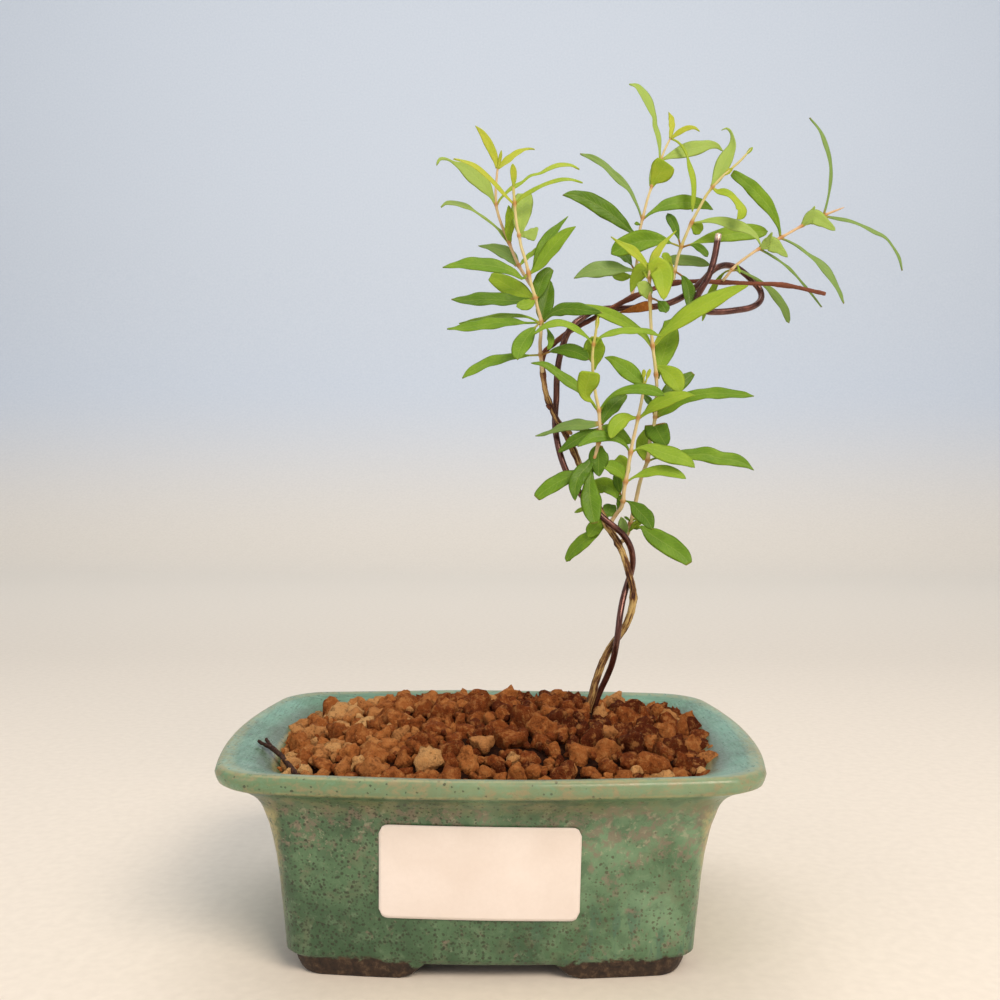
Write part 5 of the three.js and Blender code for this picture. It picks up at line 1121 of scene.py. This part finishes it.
def granule(radius, seed, detail):
    """One crumb of baked clay: a few balls fused together, pressed flat in places, roughened."""
    rng = random.Random(seed)
    ways, faces = ball(detail)
    reach = np.zeros(len(ways))
    for _ in range(rng.choice((2, 3, 3, 4, 5))):
        centre = np.array([rng.gauss(0, BALL_SCATTER) for _ in range(3)])
        size = rng.uniform(*BALL_SIZES)
        if np.linalg.norm(centre) > BALL_OFFSET:
            centre *= BALL_OFFSET / np.linalg.norm(centre)
        towards = ways @ centre
        inner = size ** 2 - centre @ centre + towards ** 2
        reach = np.maximum(reach, towards + np.sqrt(inner))
    points = ways * reach[:, None]
    for _ in range(FLATS):
        way = unit(np.array([rng.gauss(0, 1) for _ in range(3)]))
        over = points @ way - rng.uniform(*FLAT_PLACES)
        points -= np.outer(np.maximum(over, 0) * FLATTENING, way)
    points *= [rng.uniform(*limits) for limits in LUMP_STRETCH]
    offset = Vector([rng.uniform(-50, 50) for _ in range(3)])
    for k, p in enumerate(points):
        spot = Vector(p) + offset
        bump = sum(height * noise.noise(spot * scale) for height, scale in LUMP_ROUGHNESS)
        points[k] = p * (1 + bump)
    turn = np.array(Euler([rng.uniform(0, 6.28) for _ in range(3)]).to_matrix())
    return points @ turn.T * radius, faces


def granule_shade(x, y, rng):
    """Lighter and tan at the left and edges, darker to the right and middle; lighter at the back
    right as painted highlight.
    """
    middle = math.exp(-((x - 20) / 34) ** 2 - ((y + 2) / 34) ** 2)
    left = smooth_step(-x, 5, 55)
    pale_edges_and_lit_back = max(left, smooth_step(x + y, 50, 75), smooth_step(-y, 26, 40))
    spread = 1 + 0.5 * smooth_step(x, 5, 40)
    shade = 0.43 + 0.27 * left - 0.28 * middle - 0.06 * (spread - 1) \
        + spread * rng.uniform(-0.26, 0.26)
    if rng.random() < 0.06 + 0.12 * pale_edges_and_lit_back:
        shade += 0.3
    return min(max(shade, 0.02), 1)


def build_granules():
    rng = random.Random(11)
    heaps = {"front": Heap(), "middle": Heap(), "back": Heap()}

    def put(x, y, radius, shade, lift, seed):
        near = y < NEAR_Y
        detail = 3 if radius > (2.4 if near else 3) else 2 if radius > (1.1 if near else 1.5) else 1
        points, faces = granule(radius, seed, detail)
        sunk = 0.3 if radius < 1.4 else 1.5
        part = "front" if y < FRONT_Y else "middle" if near else "back"
        heaps[part].add(points + [x, y, soil_height(x, y) - sunk + lift], faces, shade=shade)

    for k, row in enumerate(LARGE_GRANULES):
        put(*row, 900 + k)
    crowd = np.array(STANDING + [row[:3] for row in LARGE_GRANULES])
    seed = 0
    for smallest, largest, tries, packing in GRANULE_SIZES:
        for _ in range(tries):
            x, y = rng.uniform(*LUMPS_X), rng.uniform(*LUMPS_Y)
            radius = rng.uniform(smallest, largest)
            gap = np.hypot(crowd[:, 0] - x, crowd[:, 1] - y)
            if not inside_soil(x, y, radius * 0.8) \
                    or np.any(gap < packing * (crowd[:, 2] + radius)):
                continue
            crowd = np.vstack([crowd, (x, y, radius)])
            seed += 1
            # small lumps lie low in the gaps and are darker as painted shade
            shade = granule_shade(x, y, rng) - (0.15 if radius < 1.7 else 0)
            put(x, y, radius, max(shade, 0.02), rng.uniform(-0.5, 0.7), seed)
    for part, heap in heaps.items():
        heap.build(f"granules_{part}", material=GRANULE, slot="granules")


# ------------------------------------------------------------------ label and twig
def wall_y(x, z):
    """The y of the pot's front wall at (x, z)."""
    zs, widths, depths, _ = zip(*POT_OUTSIDE)
    width, depth = np.interp(z, zs, widths), np.interp(z, zs, depths)
    unbowed = x / (1 - SIDE_BOW[0] / width)
    return -(depth - FRONT_BOW[0] * (unbowed / width) ** 2)


def build_label(columns=61, rows=31):
    tilt = math.radians(LABEL_TILT)
    front, back = [], []
    for i in range(columns):
        u = (i / (columns - 1) - 0.5) * LABEL_WIDTH
        inset = max(0, abs(u) - (LABEL_WIDTH / 2 - LABEL_CORNER))
        half = LABEL_HEIGHT / 2 - LABEL_CORNER + math.sqrt(max(0, LABEL_CORNER ** 2 - inset ** 2))
        for j in range(rows):
            v = (2 * j / (rows - 1) - 1) * half
            x = LABEL_X + u * math.cos(tilt) - v * math.sin(tilt)
            z = LABEL_TOP - LABEL_HEIGHT / 2 + u * math.sin(tilt) + v * math.cos(tilt)
            y = wall_y(x, z)
            to_corner = abs(u) / (LABEL_WIDTH / 2) + abs(v) / (LABEL_HEIGHT / 2)
            curl = LABEL_CURL * smooth_step(to_corner, 1.7, 2)
            front.append((x, y - LABEL_FACE - curl, z))
            back.append((x, y - LABEL_BACK, z))
    faces = []
    total = columns * rows
    for i in range(columns - 1):
        for j in range(rows - 1):
            a = i * rows + j
            faces.append((a, a + rows, a + rows + 1, a + 1))
            faces.append((total + a + 1, total + a + rows + 1, total + a + rows, total + a))
    grid = np.arange(total).reshape(columns, rows)
    border = [*grid[:, 0], *grid[-1, 1:], *grid[-2::-1, -1], *grid[0, -2:0:-1]]
    for a, b in zip(border, border[1:] + border[:1]):
        faces.append((b, a, total + a, total + b))
    add_mesh("blank_label", front + back, faces, "label", PAPER, slot="label_paper")


def build_twig():
    twig = Heap()
    for k, prong in enumerate(TWIG):
        radius = table_radius(prong)
        twig.add(*sweep(Curve([row[:3] for row in prong]), lambda t: radius(t) * 0.86, 12, 0.5,
                        rough=0.22, seed=30 + k, cap=0.15)[:2])
    twig.build("dry_twig_visual", node="dry_twig", material=DEAD_TWIG, slot="dead_wood")


# ------------------------------------------------------------------ trunk and wire
def front_curve(table):
    return Curve([from_front(row[:3]) for row in table])


def build_trunk(curve):
    trunk = Heap()
    knots = [curve.nearest(*knot) for knot in TRUNK_KNOTS]
    plain = table_radius(TRUNK)

    def radius(t):
        swell = sum(KNOT_HEIGHT * math.exp(-((t - k) / KNOT_LENGTH) ** 2) for k in knots)
        return plain(t) * 0.98 + swell

    points, faces, along, grain = sweep(curve, radius, 20, 0.6, rough=0.12, seed=3, cap=0.12,
                                        ridges=0.1)
    trunk.add(points, faces, age=along, cut=0.0, **grain)
    points, faces, along, grain = sweep(front_curve(TRUNK_STUB), lambda t: 0.72 - 0.2 * t, 12, 0.4,
                                        rough=0.15, seed=9, cap=0.12, length=4)
    trunk.add(points, faces, age=0.2, cut=np.clip(along * 3 - 1, 0, 0.85), **grain)
    points, faces, along, grain = sweep(front_curve(TRUNK_BUMP), lambda t: 0.8 - 0.25 * t, 12, 0.35,
                                        rough=0.25, seed=21, cap=0.2, length=4)
    trunk.add(points, faces, age=0.75, cut=0.0, **grain)
    trunk.build("trunk_visual", node="trunk", material=BARK, slot="bark")


def build_wire():
    curve = front_curve(WIRE)
    points, faces, along, grain = sweep(curve, lambda t: WIRE_RADIUS, 20, 0.6, rough=0.02, seed=5,
                                        cap=0.08)
    cut = np.clip((along - 1) * curve.length() / 0.5 + 2.6, 0, 1)
    # along also blends the wire from its painted shade low down to its painted light on the loop
    add_mesh("training_wire_visual", points, faces, "training_wire", WIRE_METAL,
             dict(cut=cut, along=along, **grain), slot="wire")


# ------------------------------------------------------------------ leaves and stems
def plain_path(base, middle, tip):
    """A smooth arch from base to tip that passes the middle."""
    bend = 2 * middle - 0.5 * (base + tip)
    return Curve([(1 - t) ** 2 * base + 2 * t * (1 - t) * bend + t * t * tip
                  for t in (0, 0.25, 0.5, 0.75, 1)])


def drawn_path(base, places, depth, beyond):
    """A path through drawn places, its depth growing evenly from the joint to the tip."""
    flat = np.array([to_front(base[None])[0], *places])
    run = run_along(flat)
    return Curve([base] + [from_front((x, z, depth + beyond * share))
                           for (x, z), share in zip(flat[1:], run[1:] / run[-1])])


def soften(values, rounds):
    for _ in range(rounds):
        padded = np.concatenate([[values[0]], values, [values[-1]]])
        values = 0.25 * padded[:-2] + 0.5 * padded[1:-1] + 0.25 * padded[2:]
    return values


def grown_outline(u, width, rng):
    """Half widths of a lance-shaped leaf: a tapering base, widest a little past the middle."""
    rise, fall = rng.uniform(0.8, 1.1), rng.uniform(0.5, 0.72)
    peak = rise / (rise + fall)
    top = peak ** rise * (1 - peak) ** fall
    return u ** rise * np.maximum(1 - u, 0) ** fall / top * width / 2


def blade(path, widths, turn, tone, seed, petiole=2.2):
    """One leaf with its petiole, midrib, folded halves and wavy edges."""
    rng = random.Random(seed)
    drawn = len(widths) > 1
    age = smooth_step(tone, 0.3, 0.7)
    fold = math.tan(math.radians(rng.uniform(4, 12 if drawn else 20)))
    curl = rng.uniform(-0.25, 0.45)
    wave, ragged = rng.uniform(0.05, 0.14) + 0.12 * age, 0.02 + 0.045 * age
    waves, phase = rng.uniform(2, 4), rng.uniform(0, 6.28)
    twist = math.radians(rng.uniform(-6, 6) if drawn else rng.uniform(-20, 20))
    turn = min(turn, 50) if drawn else turn
    length = path.length()
    stations = int(min(max(length * 1.4, 24), 44))
    ts = np.interp(np.linspace(0, 1, stations), np.linspace(0, 1, 121), path.even(length / 120.01))
    s = np.linspace(0, 1, stations)
    if drawn:
        u = s
        seen = np.interp(s, np.linspace(0, 1, len(widths)), widths) / 2
        half = soften(seen, 2) / math.cos(math.radians(turn))
    else:
        start = min(petiole / length, 0.3)
        u = np.clip((s - start) / (1 - start), 0, 1)
        half = np.maximum(grown_outline(u, widths[0], rng), STALK_WIDTH * (1 - 0.5 * s))
    half[-1] = half[-1] * 0.8 if drawn and widths[-1] >= BLUNT_TIP else TIP_WIDTH
    points, along, across, under, reach = [], [], [], [], []
    flip = -1 if path.get(1)[0] >= path.get(0)[0] else 1
    for k, t in enumerate(ts):
        centre, tangent = path.get(t), path.tangent(t)
        sight = unit(VIEWPOINT - centre)
        facing = unit(sight - tangent * sight.dot(tangent))
        skyward = np.cross(tangent, facing) * flip
        angle = math.radians(turn) + twist * (s[k] - 0.35)
        normal = facing * math.cos(angle) + skyward * math.sin(angle)
        side = np.cross(normal, tangent)
        flatness = smooth_step(half[k], *STALK_TO_BLADE)
        edges = [half[k] * (1 + ragged * flatness * 2.2 * noise.noise(
            Vector((s[k] * length * 0.26, seed % 97 + 0.5, 3.7 * hand)))) for hand in (1, 2)]
        for i in range(2 * RIBS - 2):
            upper = i < RIBS
            v = -1 + 2 * i / (RIBS - 1) if upper else 1 - 2 * (i - RIBS + 1) / (RIBS - 1)
            width_here = edges[0] if v < 0 else edges[1]
            round_edge = math.sqrt(max(0, 1 - v * v))
            thick = STALK_THICKNESS * (1 - flatness) * round_edge \
                + BLADE_THICKNESS * flatness * round_edge ** 0.5
            rib = MIDRIB_HEIGHT * math.exp(-(v * half[k] / MIDRIB_WIDTH) ** 2) * flatness \
                * (1 - s[k]) ** 0.6
            rise = flatness * (abs(v) * half[k] * fold - curl * half[k] * fold * v * v
                               + wave * v * v * math.sin(waves * 6.28 * s[k] + phase + 1.7 * v))
            lift = rise + (thick - 0.3 * rib if upper else -thick - rib)
            points.append(centre + side * v * width_here + normal * lift)
            along.append(u[k])
            across.append(v)
            reach.append(v * half[k])
            under.append(0.0 if upper else 1.0)
    # grey marks the leaves that carry a painted sheen
    values = dict(along=along, across=across, under=under, reach=reach, tone=tone,
                  grey=0.8 if tone == TONES["grey"] else 0.0,
                  pale=0.8 if tone == TONES["pale"] else 0.0)
    return points, ring_faces(stations, 2 * RIBS - 2), values


# Colour of each shoot's young bark at its foot and its tip: 0 pinkish, 0.5 cream, 1 yellow-green.
STEM_HUES = {"a1": (0.2, 0.5), "a2": (0.35, 0.85), "b": (0.4, 0.7), "c": (0.62, 0.85),
             "d": (0.55, 0.2), "e": (0.35, 0.72), "f": (0.3, 0.7), "g": (0.3, 1.0)}


def build_shoot(name, radii, places, joints):
    curve = front_curve(places)
    knots = [curve.nearest(*at) for at, _ in joints]
    length = curve.length()
    (thick, thin), (foot_hue, tip_hue) = radii[0], STEM_HUES[name]

    def knot_at(t):
        return min(1.0, sum(math.exp(-((t - k) * length / 0.75) ** 2) for k in knots))

    def radius_at(t):
        tip = 1 - 0.5 * smooth_step(t * length, length - 3, length)
        return (thick + (thin - thick) * t) * tip * (1 + 0.5 * knot_at(t))

    points, faces, along, grain = sweep(curve, radius_at, 14, 0.5, rough=0.05, seed=len(name),
                                        cap=0.1)
    add_mesh(f"stem_{name}_visual", points, faces, f"stem_{name}", STEM,
             dict(hue=foot_hue + (tip_hue - foot_hue) * along,
                  knot=[knot_at(t) for t in along], **grain), slot="young_stem")
    for i, ((_, leaves), t) in enumerate(zip(joints, knots)):
        build_joint(f"{name}_{i + 1}", curve, t, radius_at(t), leaves)
    return curve


def build_joint(name, curve, t, radius, leaves):
    """The leaves of one joint, as one mesh."""
    cluster = Heap()
    joint, stem_way = curve.get(t), curve.tangent(t)
    depth = joint[1] - LAYOUT_PLANE
    for k, (((beyond, turn, tone),), places, (widths,), *foot) in enumerate(leaves):
        drawn = len(widths) > 1
        start = curve.get(curve.nearest(*foot[0][0])) if foot else joint
        first = from_front((*places[0], depth if drawn else depth + beyond / 2))
        outward = first - start
        outward = unit(outward - stem_way * outward.dot(stem_way))
        base = start + outward * radius * 0.55
        if drawn:
            path = drawn_path(base, places, depth, beyond)
        else:
            path = plain_path(base, first, from_front((*places[1], depth + beyond)))
            widths = (widths[0] * 1.04,)
        seed = sum(ord(c) for c in name) * 31 + k
        points, faces, values = blade(path, widths, turn, tone, seed)
        cluster.add(points, faces, **values)
    cluster.build(f"leaves_{name}_visual", node=f"leaves_{name}", material=LEAF, slot="leaf")


def build_buds(curves):
    buds = Heap()
    for k, bud in enumerate(BUDS.split(",")):
        shoot, *numbers = bud.split()
        x, z, tip_x, tip_z, beyond, width, tone = map(float, numbers)
        curve = curves[shoot]
        joint = curve.get(curve.nearest(x, z))
        tip = from_front((tip_x, tip_z, joint[1] - LAYOUT_PLANE + beyond))
        middle = (joint + tip) / 2 + np.array([0.12, 0, 0.12])
        points, faces, values = blade(plain_path(joint, middle, tip), (width,), 15, tone, 700 + k,
                                      petiole=0.4)
        buds.add(points, faces, **values)
    buds.build("buds", material=LEAF, slot="leaf")


def build_dead_leaf():
    """A curled, ridged dry leaf caught between the trunk and the wire."""
    points, faces, values = blade(front_curve(DEAD_LEAF_PLACES), DEAD_LEAF_WIDTHS, 12, 0.1, 5)
    add_mesh("dead_leaf", points, faces, material=DEAD_LEAF,
             attributes=dict(across=values["across"]), slot="dead_wood")


# ------------------------------------------------------------------ assembly
build_pot()
build_soil()
build_granules()
build_label()
build_twig()
trunk_curve = front_curve(TRUNK)
build_trunk(trunk_curve)
build_wire()
((trunk_joint, trunk_leaves),), = SHOOTS.pop("trunk")
shoot_curves = {name: build_shoot(name, *shoot) for name, shoot in SHOOTS.items()}
build_joint("trunk", trunk_curve, trunk_curve.nearest(*trunk_joint), 1.0, trunk_leaves)
build_buds(shoot_curves)
build_dead_leaf()
for name in ("drain_screen_left", "drain_screen_right"):
    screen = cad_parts[name]
    screen.data.materials.clear()
    screen.data.materials.append(SCREEN)


# ------------------------------------------------------------------ stage, light and camera
# The stage is in metres: a floor that curves up into a backdrop.
STAGE_HALF_WIDTH = 2.2
STAGE_FRONT, BEND_START, BEND_RADIUS, STAGE_TOP = -1.4, 1.1, 0.5, 1.8
# Name, place, target, size, power and colour of each light.
AIM = (0, 0, 0.1)
LIGHTS = (
    ("key", (0.45, -0.75, 0.85), AIM, (0.6, 0.5), 10.5, (1.0, 0.84, 0.7)),
    ("fill", (-0.9, -0.6, 0.5), AIM, (0.8, 0.8), 2.4, (1.0, 0.88, 0.78)),
    ("top", (-0.1, 0.25, 1.1), AIM, (0.8, 0.6), 3.2, (1.0, 0.95, 0.9)),
    ("backdrop", (0, 0.55, 0.95), (0, 1.6, 0.85), (2.4, 0.5), 7, (1.0, 0.99, 0.98)),
)
SKY_COLOR, SKY_STRENGTH = (0.9, 0.93, 1.0, 1), 0.45
# The photo's camera, fitted to the rim, the walls and the label; angles in radians.
CAMERA_PLACE = (POT_X + 0.00206, -0.307, 0.12538)
CAMERA_PITCH, CAMERA_ROLL = 0.07999, 0.00473
SENSOR, FOCAL_RATIO, CAMERA_SHIFT = 36, 1.0814, 0.0671


def stage_material():
    n = Nodes("pale_floor")
    place = n.place()
    fine = n.noise(place, 300, 3, 0.5)
    warm = n.ramp(fine, (0.3, 234, 226, 212), (0.7, 240, 232, 218))
    cool = n.ramp(fine, (0.3, 206, 216, 228), (0.7, 212, 221, 232))
    return n.finish(n.mix(n.span(n.axis(place, "Z"), 0.0, 0.3), warm, cool), 0.8)


def build_stage():
    profile = [(STAGE_FRONT, 0), (0.6, 0)]
    for angle in np.linspace(0, math.pi / 2, 13):
        profile.append((BEND_START + BEND_RADIUS * math.sin(angle),
                        BEND_RADIUS - BEND_RADIUS * math.cos(angle)))
    profile.append((BEND_START + BEND_RADIUS, STAGE_TOP))
    points = [(x, y, z) for y, z in profile for x in (-STAGE_HALF_WIDTH, STAGE_HALF_WIDTH)]
    faces = [(2 * i, 2 * i + 1, 2 * i + 3, 2 * i + 2) for i in range(len(profile) - 1)]
    mesh = bpy.data.meshes.new("floor")
    mesh.from_pydata(points, [], faces)
    mesh.polygons.foreach_set("use_smooth", [True] * len(faces))
    floor = add_object("floor", mesh)
    mesh.materials.append(stage_material())


def build_lights():
    for name, place, target, size, power, color in LIGHTS:
        data = bpy.data.lights.new(name, "AREA")
        data.shape = "RECTANGLE"
        data.size, data.size_y = size
        data.energy = power
        data.color = color
        light = add_object(name, data)
        light.location = place
        way = Vector(target) - Vector(place)
        light.rotation_euler = way.to_track_quat("-Z", "Y").to_euler()
    world = bpy.data.worlds.new("studio")
    bpy.context.scene.world = world
    world.use_nodes = True
    background = world.node_tree.nodes["Background"]
    background.inputs["Color"].default_value = SKY_COLOR
    background.inputs["Strength"].default_value = SKY_STRENGTH


def build_camera():
    data = bpy.data.cameras.new("camera")
    camera = add_object("camera", data)
    camera.location = CAMERA_PLACE
    camera.rotation_euler = (Euler((math.pi / 2 - CAMERA_PITCH, 0, 0)).to_matrix()
                             @ Euler((0, 0, CAMERA_ROLL)).to_matrix()).to_euler()
    data.sensor_width = SENSOR
    data.lens = SENSOR * FOCAL_RATIO
    data.shift_y = CAMERA_SHIFT
    data.clip_start = 0.01
    bpy.context.scene.camera = camera


build_stage()
build_lights()
build_camera()
bpy.context.scene.view_settings.view_transform = "Standard"
bpy.context.scene.view_settings.look = "None"
